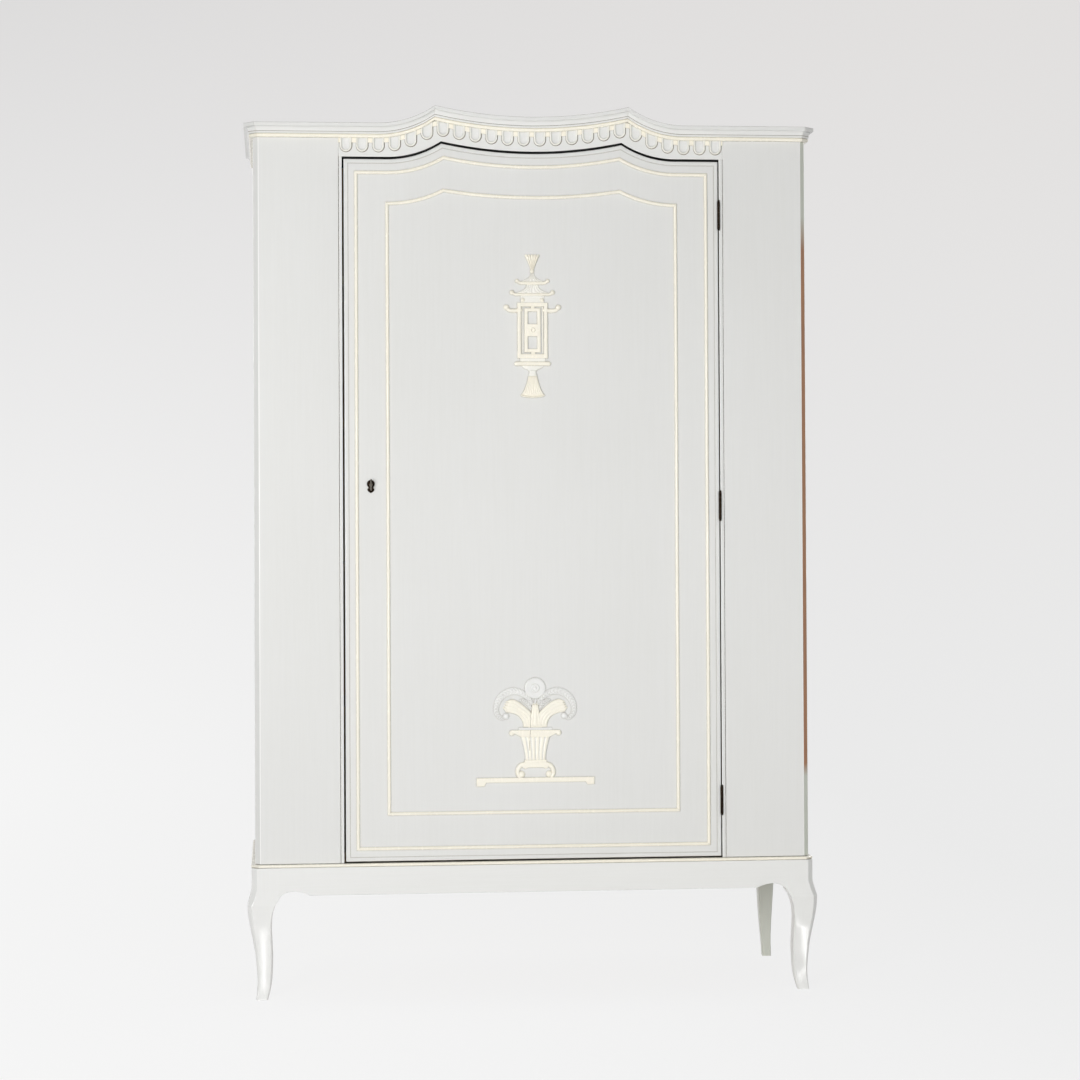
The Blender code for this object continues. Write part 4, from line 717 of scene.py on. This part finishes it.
def door_outline(inward=0.0, drop=0.0):
    """The door's edge in elevation, anticlockwise, moved inward, with its top lowered by a drop."""
    half, foot = HALF_DOOR - inward, DOOR_FOOT + inward
    top = crossbow(half, DOOR_BOW, CROSSBOW_SHOULDER, DOOR_TOP - drop, inward)
    return [(-half, foot), (half, foot)] + top[::-1]


def build_door():
    """The door's slab: rounded front edge, a fine quirk beside it, and the keyhole right through."""
    stations = [(1 * MM, DOOR_BACK), (0.0, DOOR_BACK - 1 * MM)]
    stations += arc(DOOR_ROUNDING, FRONT + DOOR_ROUNDING, DOOR_ROUNDING, 2, 3, 8)
    stations += [(distance * MM, FRONT + depth * MM) for distance, depth in
                 ((8.2, 0.0), (8.5, 0.25), (8.6, 1.1), (9.2, 1.35), (9.8, 1.1), (9.9, 0.25), (10.2, 0.0))]
    solid = bmesh.new()
    rings = [facing(door_outline(distance), y) for distance, y in stations]
    # The door's edges behind its front take the near-black paint as painted shade, and part of the front
    # rounding the lighter paint, a painted highlight
    rows = skin(solid, rings, caps=False, levels=[1, 1, 0, 2, 2, 2, 2] + [0] * 10)
    hole = keyhole(3.9 * MM, 2.6 * MM, 9.6 * MM)
    rims = skin(solid, [facing(hole, y) for y in (FRONT, DOOR_BACK)], caps=False)
    fill(solid, rows[-1], rims[0])
    fill(solid, rows[0], rims[1])
    for vert in solid.verts:
        vert.co.x += (HALF_DOOR - vert.co.x) * DOOR_EASE
        vert.co.z -= (vert.co.z - DOOR_FOOT) * DOOR_EASE * 0.4
    add_piece("door_leaf", solid, [door_grey, gap_shade, arris_highlight], ["door_panel"], "door", sharp=30)


def bead_profile():
    """A half-round bead, let a hair into the door."""
    half, let_in = BEAD_WIDTH / 2, -0.4 * MM
    return [(half, let_in)] + arc(0.0, 0.0, half, 0, 2, 12, BEAD_PROUD) + [(-half, let_in)]


def build_bead_frame(prefix, outline):
    """Four mitred strips of bead: the first two edges of the outline, the top line and the last edge."""
    out = Vector((0, -1, 0))
    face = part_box(f"{prefix}_bottom")[1].y
    path = facing(outline, face)
    sides = mitre_sides(path, out, closed=True)
    path.append(path[0])
    sides.append(sides[0])
    top_end = len(path) - 2
    for name, start, end in (("bottom", 0, 1), ("right", 1, 2), ("top", 2, top_end),
                             ("left", top_end, top_end + 1)):
        solid = sweep(path, sides, start, end, out, bead_profile())
        add_piece(f"strip_{prefix}_{name}", solid, [cream_paint], [f"{prefix}_{name}"], "door",
                  40)


def build_beads():
    """The outer bead follows the door's edge; the inner one has a crossbow of its own."""
    build_bead_frame("bead_outer", door_outline(27 * MM, 2.5 * MM))
    half = 310.5 * MM
    line = crossbow(half, INNER_BOW, INNER_SHOULDER, DOOR_TOP - 95.5 * MM)[1:-1]
    top = [(-half, line[0][1])] + [p for p in line if abs(p[0]) < half - BEAD_WIDTH] + [(half, line[0][1])]
    foot = DOOR_FOOT + 100.5 * MM
    build_bead_frame("bead_inner", [(-half, foot), (half, foot)] + top[::-1])


# Ornaments

class Carving:
    """One carved ornament, drawn in millimetres from its centre line and its top, in relief over the door."""

    def __init__(self, node):
        low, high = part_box(node)
        self.centre = (low.x + high.x) / 2
        self.top = high.z
        self.face = high.y
        self.solid = bmesh.new()

    def place(self, x, z, rise):
        """A point of the relief."""
        return Vector((self.centre + x * MM, self.face - rise * MM, self.top + z * MM))

    def between(self, left, right, across, height, paint=0, scallop=(0, 0.0)):
        """A form between two edge lines, its height given along and across it, with a scalloped end."""
        rings = []
        tip = (Vector(left[-1]) + Vector(right[-1]) - Vector(left[-2]) - Vector(right[-2])).normalized()
        for i, (a, b) in enumerate(zip(left, right)):
            t = i / (len(left) - 1)
            ring = [self.place(*b, BASE), self.place(*a, BASE)]
            for k in range(across + 1):
                s = k / across
                reach = scallop[1] * t ** 6 * abs(sin(pi * scallop[0] * s))
                x = a[0] + (b[0] - a[0]) * s + tip.x * reach
                z = a[1] + (b[1] - a[1]) * s + tip.y * reach
                ring.append(self.place(x, z, height(t, s)))
            rings.append(ring)
        skin(self.solid, rings, paints=paint)

    def strip(self, spine, rise, paint=0, across=8, barbs=0):
        """A roll along a line of (x, z, width) with round ends, or a feather with slanted barbs."""
        points = [Vector(p) for p in curve(spine, 14 if barbs else 5)]
        rings = []
        count = len(points)
        for i, point in enumerate(points):
            ahead = points[min(i + 1, count - 1)] - points[max(i - 1, 0)]
            along = Vector((ahead.x, ahead.y)).normalized()
            side = Vector((-along.y, along.x))
            half = point.z / 2
            steps = [(0.0, 1.0)]
            for degrees in (30, 60, 85) if i in (0, count - 1) else ():
                turn = radians(degrees)
                steps.append(((half if i else -half) * sin(turn), cos(turn)))
            if i == 0:
                steps.reverse()
            for shift, share in steps:
                centre = Vector((point.x, point.y)) + along * shift
                ring = [self.place(*(centre - side * half * share), BASE),
                        self.place(*(centre + side * half * share), BASE)]
                for k in range(across + 1):
                    s = 1 - 2 * k / across
                    crown = sqrt(max(0.0, 1 - abs(s) ** 2.6)) * 0.62 + 0.38
                    lift = rise * crown * (0.45 + 0.55 * share)
                    if barbs:
                        phase = barbs * i / count - 1.1 * abs(s)
                        cut = abs(sin(pi * phase))
                        lift *= 0.4 + 0.6 * cut ** 0.7 if abs(s) > 0.15 else 1.0
                    ring.append(self.place(*(centre + side * half * share * s), lift))
                rings.append(ring)
        skin(self.solid, rings, paints=paint)

    def turned(self, x, z, stations, paint=0, count=20, lobes=0):
        """A round form given by (radius, rise), with a lobed rim if asked."""
        rings = []
        for radius, rise in stations:
            ring = []
            for i in range(count):
                angle = tau * i / count
                reach = radius * (1 - 0.05 * abs(cos(lobes * angle / 2))) if lobes else radius
                ring.append(self.place(x + reach * cos(angle), z + reach * sin(angle), rise))
            rings.append(ring)
        skin(self.solid, rings, paints=paint)

    def ball(self, x, z, radius, rise, paint=0):
        """A carved bead."""
        stations = [(radius, BASE), (radius, rise * 0.3)]
        for angle in (25, 48, 68, 84):
            turn = radians(angle)
            stations.append((radius * cos(turn), rise * (0.3 + 0.7 * sin(turn))))
        self.turned(x, z, stations, paint)

    def plate(self, outline, rise, ease=1.0, paint=0):
        """A flat form with eased front edges, drawn anticlockwise."""
        placed = [self.place(x, z, 0.0) for x, z in outline]
        slab(self.solid, [(p.x, p.z) for p in placed], self.face - rise * MM, self.face - BASE * MM,
             ease * MM, paint, 3)

    def bar(self, x0, x1, z0, z1, rise, ease=1.0, paint=0):
        """An upright or level bar."""
        self.plate([(x0, z0), (x1, z0), (x1, z1), (x0, z1)], rise, ease, paint)


def crowned(rise, flutes, cut, edge=0.55):
    """A height with rounded sides, hollow flutes between ridges, and a soft start and end."""
    def height(t, s):
        round_side = edge + (1 - edge) * sqrt(max(0.0, 1 - abs(2 * s - 1) ** 4))
        ridge = abs(sin(pi * flutes * s)) ** 0.5 if flutes else 1.0
        fade = min(1.0, 0.45 + 5 * t, 0.45 + 5 * (1 - t))
        return rise * round_side * fade * (1 - cut + cut * ridge)
    return height


def mirrored(points):
    """The same points on the other side of the centre line."""
    return [(-p[0], *p[1:]) for p in points]


def build_lantern():
    """Fan, two swept roofs, latticed body with arms, tray and fluted tassel."""
    work = Carving("lantern_ornament")
    fan = curve([(-3.2, -35), (-6.0, -26), (-11.5, -13), (-16.0, -3.5)], 4)
    work.between(fan, mirrored(fan), 30, crowned(6.0, 5, 0.32), scallop=(5, 2.6))
    work.ball(0, -37.2, 4.4, 6.2)
    for ridge, eave, half_ridge, half_eave, roll, ball in ((-40, -61.5, 3.4, 31, 6.5, 4.2),
                                                          (-64, -86, 12, 42, 6.0, 4.8)):
        slope = []
        for i in range(9):
            t = i / 8
            slope.append((-half_ridge - (half_eave - half_ridge) * t ** 2.6, ridge + (eave - ridge) * t))
        work.between(slope, mirrored(slope), 36, crowned(3.6, 6, 0.35, 0.7), paint=1)
        tip = half_eave + 2
        work.strip([(-tip, eave + 3.4, roll - 1), (-tip + 7, eave - 0.6, roll), (-tip + 18, eave - 1, roll),
                    (0, eave - 1, roll), (tip - 18, eave - 1, roll), (tip - 7, eave - 0.6, roll),
                    (tip, eave + 3.4, roll - 1)], 5.4)
        for side in (-1, 1):
            work.ball(side * (half_eave + 2.0), eave + 3.4, ball, 6.2)
    work.bar(-25, 25, -106, -87, 2.6, 0.6, 1)
    work.bar(-20, 20, -95, -89.5, 3.6, 0.8, 1)
    for side in (-1, 1):
        work.ball(side * 20.5, -99, 4.6, 5.2)
        work.strip([(side * 26, -120.5, 9), (side * 38, -122, 8.5), (side * 49, -121, 8),
                    (side * 55, -117, 7)], 5.2)
        work.ball(side * 56.0, -114.6, 5.8, 6.8)
        for near, far, *rest in ((24.8, 32.2, -224, -105, 6.0, 1.2), (10.3, 17.4, -211, -117, 5.2, 1.0),
                                 (21.0, 23.6, -214, -114, 1.2, 0.4, 1)):
            work.bar(*sorted((side * near, side * far)), *rest)
    for bar in ((-32.5, 32.5, -113.3, -104.8, 5.8, 1.2), (-32.5, 32.5, -224.2, -215, 5.8, 1.2),
                (-17.6, 17.6, -123.6, -116.8, 5.0, 1.0), (-17.6, 17.6, -211.2, -204, 5.0, 1.0),
                (-3.4, 4.6, -118, -112, 4.6, 0.8), (-3.4, 5.6, -217, -209, 4.6, 0.8),
                (-12.4, 12.4, -177, -150.6, 5.6, 1.2)):
        work.bar(*bar)
    work.turned(0.4, -164, [(5.4, 5.0), (5.2, 6.6), (4.2, 7.3), (3.2, 6.9), (2.6, 5.4)])
    work.ball(0.4, -164, 2.2, 6.4, 1)
    work.bar(-27, 27, -232, -223, 3.0, 0.8, 1)
    work.strip([(-34.5, -235.6, 9.6), (-20, -235.4, 9.4), (20, -235.4, 9.4), (34.5, -235.6, 9.6)], 6.4)
    cone = curve([(-24, -239), (-19, -245), (-11, -248.5), (-7.5, -253)], 4)
    work.between(cone, mirrored(cone), 16, crowned(3.4, 0, 0.0, 0.6), paint=1)
    bell = curve([(-7.0, -249), (-8.0, -256), (-10.5, -263.5)], 3)
    work.between(bell, mirrored(bell), 14, crowned(5.0, 0, 0.0), paint=1)
    tassel = curve([(-9.2, -261), (-12.6, -276), (-17.5, -290), (-24.4, -302.5)], 6)
    work.between(tassel, mirrored(tassel), 54, crowned(6.2, 9, 0.16), scallop=(1, 5.0))
    hem = [(24.8 * sin(radians(a)), -302.6 - 4.6 * cos(radians(a)), 3.0)
           for a in range(-84, 85, 21)]
    work.strip(hem, 6.0)
    add_piece("ornament_lantern", work.solid, [cream_paint, ivory_paint], ["lantern_ornament"], "door",
              50)


def build_urn():
    """Rosette, feather plumes, fluted leaves, fluted urn on scrolled feet, and a footed plinth."""
    work = Carving("urn_ornament")
    work.turned(0, -23, [(23.5, BASE), (23.5, 2.2), (22.4, 3.6), (20.0, 4.2), (13.0, 3.0), (9.6, 3.0),
                         (9.0, 4.6), (7.6, 5.0), (6.4, 4.2), (5.4, 3.6)], 1, 60, 20)
    work.ball(0, -23, 4.2, 5.4, 1)
    plume = [(-7, -56, 8), (-17, -42, 11), (-31, -32.5, 13), (-48, -29, 15), (-65, -35, 15), (-77.5, -47, 14),
             (-83.5, -62, 12), (-82, -77, 10), (-73, -86.5, 9), (-64, -84.5, 7)]
    inner = [(-9, -67, 7), (-15.5, -56, 9), (-24, -50, 8), (-31, -48.5, 5)]
    for spine, barbs in ((plume, 22), (inner, 6)):
        work.strip(spine, 3.8, 1, 10, barbs)
        work.strip(mirrored(spine), 3.8, 1, 10, barbs)
    upper = curve([(-2, -106), (-2, -92), (-6, -79), (-20, -64), (-36, -51.5), (-50, -46.5), (-59, -50)], 6)
    lower = curve([(-25, -106), (-27, -95), (-34, -84), (-45, -77.5), (-56, -75), (-63, -73.5),
                   (-67, -67)], 6)
    work.between(lower, upper, 36, crowned(6.0, 4, 0.12, 0.6), scallop=(4, 4.0))
    work.between(mirrored(upper), mirrored(lower), 36, crowned(6.0, 4, 0.12, 0.6), scallop=(4, 4.0))
    stalk = curve([(-15, -107), (-12.5, -92), (-9.5, -78), (-7, -64), (-6.0, -54)], 5)
    work.between(stalk, mirrored(stalk), 24, crowned(6.6, 3, 0.15, 0.6), scallop=(2, -5.0))
    work.strip([(0, -60, 4.5), (0, -50, 4.5), (0, -46, 4)], 3.8, 1)
    for side in (-1, 1):
        work.ball(side * 62.5, -82.5, 6.6, 4.6, 1)
        work.strip([(side * 21, -184.5, 9), (side * 31, -187.5, 9.6), (side * 37.6, -195.5, 9),
                    (side * 38.4, -206, 8.4), (side * 34, -213.5, 7)], 5.4)
        work.ball(side * 29.8, -207, 7.2, 6.4)
        work.ball(side * 50.4, -118.6, 5.8, 6.4)
    work.bar(-36, 36, -114, -107.2, 2.6, 0.6, 1)
    rim = [(-52.4, -112.6), (-53.6, -116.5), (-51, -120), (-43, -120.6), (-37, -123.5), (-31, -127),
           (31, -127), (37, -123.5), (43, -120.6), (51, -120), (53.6, -116.5), (52.4, -112.6)]
    work.plate(rim, 6.0, 1.3)
    vase = curve([(-32, -124), (-28.6, -136), (-25.2, -150), (-22.8, -164), (-21.6, -180)], 6)
    hollow = [2, 2] + [2 if k % 10 in (0, 1, 8, 9) else 0 for k in range(60)] + [2]
    work.between(vase, mirrored(vase), 60, crowned(6.0, 6, 0.3), paint=hollow)
    work.bar(-23.6, 23.6, -182.5, -176.0, 6.2, 1.4)
    foot = [(-30, -184), (-28, -192), (-22, -195), (-16, -192.6), (16, -192.6), (22, -195), (28, -192),
            (30, -184), (24, -180.6), (-24, -180.6)]
    work.plate(foot, 5.6, 1.2)
    plinth = [(-126.5, -231.5), (-110, -231.5), (-106, -223.8), (108, -223.8), (112, -229.5),
              (126.5, -229.5), (126.5, -213.8), (-126.5, -213.8)]
    work.plate(plinth, 5.8, 1.2)
    add_piece("ornament_urn", work.solid, [split_cream, plume_grey, ivory_paint], ["urn_ornament"], "door",
              50)


# Hardware

def ring_about(centre, radius, axis, count=24):
    """A circle of points about one axis, x, y or z."""
    first, second = {"x": (1, 2), "y": (2, 0), "z": (0, 1)}[axis]
    points = []
    for i in range(count):
        point = list(centre)
        point[first] += radius * cos(tau * i / count)
        point[second] += radius * sin(tau * i / count)
        points.append(Vector(point))
    return points


def turned_about(solid, centre, stations, axis):
    """A turned form: stations are (place along the axis, radius), measured from the centre."""
    rings = []
    for along, radius in stations:
        middle = list(centre)
        middle["xyz".index(axis)] += along
        rings.append(ring_about(middle, radius, axis))
    skin(solid, rings)


def build_escutcheon():
    """A domed keyhole plate: round above, waisted, with a pointed shield below."""
    low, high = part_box("escutcheon")
    half = (high.x - low.x) / 2
    right = arc(0.0, high.z - half, half, 1, 1 - 140 / 90, 12)
    right += [(x * MM, KEY_HEIGHT - drop * MM)
              for x, drop in ((5.0, 6.6), (7.4, 9.2), (7.3, 11.6), (4.4, 15.0))]
    right.append((0.0, low.z + 0.4 * MM))
    outline = [(KEY_PLACE + x, z) for x, z in right] + [(KEY_PLACE - x, z) for x, z in right[-2:0:-1]]
    outline.reverse()
    solid = bmesh.new()
    middle = Vector((KEY_PLACE, 0, KEY_HEIGHT - 3 * MM))
    rows = []
    for share, proud in ((1.0, 0.0), (1.0, 0.5), (0.93, 1.1), (0.82, 0.9), (0.74, 1.0)):
        y = high.y - proud * MM
        rows.append([middle + Vector(((x - middle.x) * share, y, (z - middle.z) * share))
                     for x, z in outline])
    outer = skin(solid, rows, caps=False)
    rim = []
    for share, proud in ((1.12, 1.3), (1.02, 1.5), (1.0, 0.0)):
        rim.append(facing([(KEY_PLACE + (x - KEY_PLACE) * share, KEY_HEIGHT + (z - KEY_HEIGHT) * share)
                           for x, z in keyhole(3.0 * MM, 1.85 * MM, 9.0 * MM)], high.y - proud * MM))
    inner = skin(solid, rim, caps=False)
    fill(solid, outer[-1], inner[0])
    fill(solid, outer[0], inner[-1])
    add_piece("keyhole_plate", solid, [brass], ["escutcheon"], "door", 40)


def build_key():
    """The key: oval bow seen edge-on, moulded collar, shank with tapered ends and a cut bit."""
    low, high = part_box("key")
    solid = bmesh.new()
    half_height = (high.z - low.z) / 2
    half_depth, web, thick = 8.0 * MM, 3.2 * MM, 1.5 * MM
    bow = Vector((KEY_PLACE, low.y + half_depth, KEY_HEIGHT))
    rings = []
    for i in range(36):
        turn = tau * i / 36
        out = Vector((0, cos(turn), sin(turn)))
        middle = bow + Vector((0, out.y * (half_depth - web / 2), out.z * (half_height - web / 2)))
        ring = []
        for k in range(12):
            angle = tau * k / 12
            ring.append(middle + out * (cos(angle) * web / 2) + Vector((sin(angle) * thick, 0, 0)))
        rings.append(ring)
    skin(solid, rings + [rings[0]], caps=False)
    bmesh.ops.remove_doubles(solid, verts=solid.verts, dist=0.001 * MM)
    start = bow.y + half_depth - web
    collar = FRONT - 6.0 * MM
    stations = [(start, 1.9 * MM), (start + 1.0 * MM, 2.4 * MM)]
    stations += [(collar + along * MM, radius * MM) for along, radius in
                 ((-0.6, 2.4), (0.0, 3.3), (0.5, 3.75), (1.3, 3.75), (1.8, 3.0), (2.3, 3.6), (3.1, 3.6),
                  (3.6, 2.4))]
    stations += [(high.y - 0.6 * MM, 2.4 * MM), (high.y, 1.9 * MM)]
    turned_about(solid, (KEY_PLACE, 0, KEY_HEIGHT), stations, "y")
    half = 1.25 * MM
    bit = [(high.y - back * MM, KEY_HEIGHT + drop * MM) for back, drop in
           ((7.0, -1.2), (7.0, -8.5), (4.6, -8.5), (4.6, -5.6), (3.6, -5.6), (3.6, -8.5), (0.6, -8.5),
            (0.6, -1.2))]
    skin(solid, [[Vector((x, y, z)) for y, z in bit] for x in (KEY_PLACE - half, KEY_PLACE + half)])
    add_piece("key_turned", solid, [steel], ["key"], "key", 40)


build_panels()
build_frieze()
build_cornice()
build_base_moulding()
build_legs()
build_aprons()
build_door()
build_beads()
build_lantern()
build_urn()
build_escutcheon()
build_key()


# Camera, light and backdrop

ROOM_LIGHT = 0.262
ROOM_SEEN = 0.87
PAPER_GLOW = 0.88
CARD_POWER = 11.0
CAMERA_PLACE = Vector((-0.550, FRONT - 5.857, 0.9765))
CAMERA_YAW = -0.0971
CAMERA_PITCH = 0.0141
CAMERA_ROLL = -0.0049
CAMERA_LENS = 91.53
CAMERA_SHIFT = (-0.0025, -0.0379)


def add_camera():
    """The photograph's viewpoint."""
    data = bpy.data.cameras.new("camera")
    data.sensor_width = 36.0
    data.lens = CAMERA_LENS
    data.shift_x, data.shift_y = CAMERA_SHIFT
    data.clip_end = 60.0
    camera = bpy.data.objects.new("camera", data)
    bpy.context.collection.objects.link(camera)
    level_reach = cos(CAMERA_PITCH)
    ahead = Vector((-sin(CAMERA_YAW) * level_reach, cos(CAMERA_YAW) * level_reach,
                    sin(CAMERA_PITCH)))
    right = Vector((cos(CAMERA_YAW), sin(CAMERA_YAW), 0.0))
    up = right.cross(ahead)
    level = cos(CAMERA_ROLL) * right + sin(CAMERA_ROLL) * up
    upright = cos(CAMERA_ROLL) * up - sin(CAMERA_ROLL) * right
    turn = Matrix((level, upright, -ahead)).transposed().to_4x4()
    camera.matrix_world = Matrix.Translation(CAMERA_PLACE) @ turn
    bpy.context.scene.camera = camera


def add_softbox(name, place, target, width, height, power):
    """A rectangular soft light."""
    data = bpy.data.lights.new(name, "AREA")
    data.shape = "RECTANGLE"
    data.size, data.size_y = width, height
    data.energy = power
    light = bpy.data.objects.new(name, data)
    bpy.context.collection.objects.link(light)
    light.location = place
    light.rotation_euler = (Vector(target) - Vector(place)).to_track_quat("-Z", "Y").to_euler()
    return light


def seen_directly(tree):
    """1 for a ray from the camera, a reflection or glass, and 0 for the light that falls on the object."""
    path = tree.nodes.new("ShaderNodeLightPath")
    seen = path.outputs["Is Camera Ray"]
    for name in ("Is Glossy Ray", "Is Transmission Ray"):
        either = tree.nodes.new("ShaderNodeMath")
        either.operation = "MAXIMUM"
        tree.links.new(seen, either.inputs[0])
        tree.links.new(path.outputs[name], either.inputs[1])
        seen = either.outputs["Value"]
    return seen


def add_light(backdrop):
    """Soft daylight from the left and front, a pale room, and rear fills that leave the backdrop alone."""
    world = bpy.data.worlds.new("room")
    bpy.context.scene.world = world
    world.use_nodes = True
    tree = world.node_tree
    tree.nodes["Background"].inputs["Color"].default_value = (1.0, 1.0, 1.0, 1.0)
    level = tree.nodes.new("ShaderNodeMapRange")
    level.inputs["To Min"].default_value = ROOM_LIGHT
    level.inputs["To Max"].default_value = ROOM_SEEN
    tree.links.new(seen_directly(tree), level.inputs["Value"])
    tree.links.new(level.outputs["Result"], tree.nodes["Background"].inputs["Strength"])
    add_softbox("window", (-2.1, -5.0, 1.15), (0.0, 0.0, 0.95), 1.2, 1.5, 124.0)
    add_softbox("front_fill", (0.4, -8.0, 0.9), (0.1, 0.0, 0.8), 5.0, 3.0, 90.0).visible_glossy = False
    bounce = add_softbox("floor_bounce", (0.95, -1.8, 0.05), (0.55, -0.25, 0.3), 2.0, 1.0, 5.6)
    bounce.visible_camera = bounce.visible_glossy = False
    spared = bpy.data.collections.new("not_lit_from_behind")
    spared.objects.link(backdrop)
    spared.collection_objects[0].light_linking.link_state = "EXCLUDE"
    for name, x in (("rear_fill_left", -4.2), ("rear_fill_right", 4.2)):
        fill = add_softbox(name, (x, 6.2, 2.0), (0.0, 0.0, 0.9), 2.5, 2.5, 115.0)
        fill.visible_camera = False
        fill.light_linking.receiver_collection = spared
    for name, x, width in (("left_card", -0.579, 0.008), ("right_card", 0.63, 0.012)):
        card = add_softbox(name, (x, -0.53, 0.012), (x, -0.33, 3.0), width, 0.26, CARD_POWER * width)
        card.visible_camera = card.visible_diffuse = False


def backdrop_paint():
    """Pale paper that takes the object's shadow; seen directly or in a reflection it is nearly white."""
    finish = Finish("backdrop_paper")
    finish.feed(finish.shader, {"Base Color": srgb(*PAPER), "Roughness": 0.9, "Specular IOR Level": 0.1})
    low = finish.mix(finish.ramp(finish.axis("X"), -1.6, 1.6), FLOOR_LEFT, FLOOR_RIGHT)
    high = finish.mix(finish.ramp(finish.axis("X"), -3.2, 3.2), WALL_LEFT, WALL_RIGHT)
    colour = finish.mix(finish.ramp(finish.axis("Z"), 0.0, 3.9), low, high)
    glow = finish.add("Emission", {"Color": colour})["Emission"]
    share = finish.sum(seen_directly(finish.tree), PAPER_GLOW, "MULTIPLY")
    blend = finish.add("MixShader", {"Fac": share, 1: finish.shader.outputs["BSDF"], 2: glow})["Shader"]
    finish.feed(finish.tree.nodes["Material Output"], {"Surface": blend})
    return finish.material


def add_backdrop():
    """A pale floor that sweeps up into a pale wall."""
    depth_front, depth_back, bend, height, half = -9.0, 9.0, 4.4, 7.0, 16.0
    profile = [(depth_front, 0.0)] + arc(depth_back - bend, bend, bend, -1, 0, 24) + [(depth_back, height)]
    paper = bmesh.new()
    rows = [[paper.verts.new((x, y, z)) for y, z in profile] for x in (-half, half)]
    for i in range(len(profile) - 1):
        paper.faces.new((rows[0][i], rows[1][i], rows[1][i + 1], rows[0][i + 1]))
    mesh = bpy.data.meshes.new("backdrop")
    paper.to_mesh(mesh)
    paper.free()
    mesh.shade_smooth()
    mesh.materials.append(backdrop_paint())
    backdrop = bpy.data.objects.new("backdrop", mesh)
    bpy.context.collection.objects.link(backdrop)
    return backdrop


add_camera()
add_light(add_backdrop())
bpy.context.scene.view_settings.view_transform = "Standard"
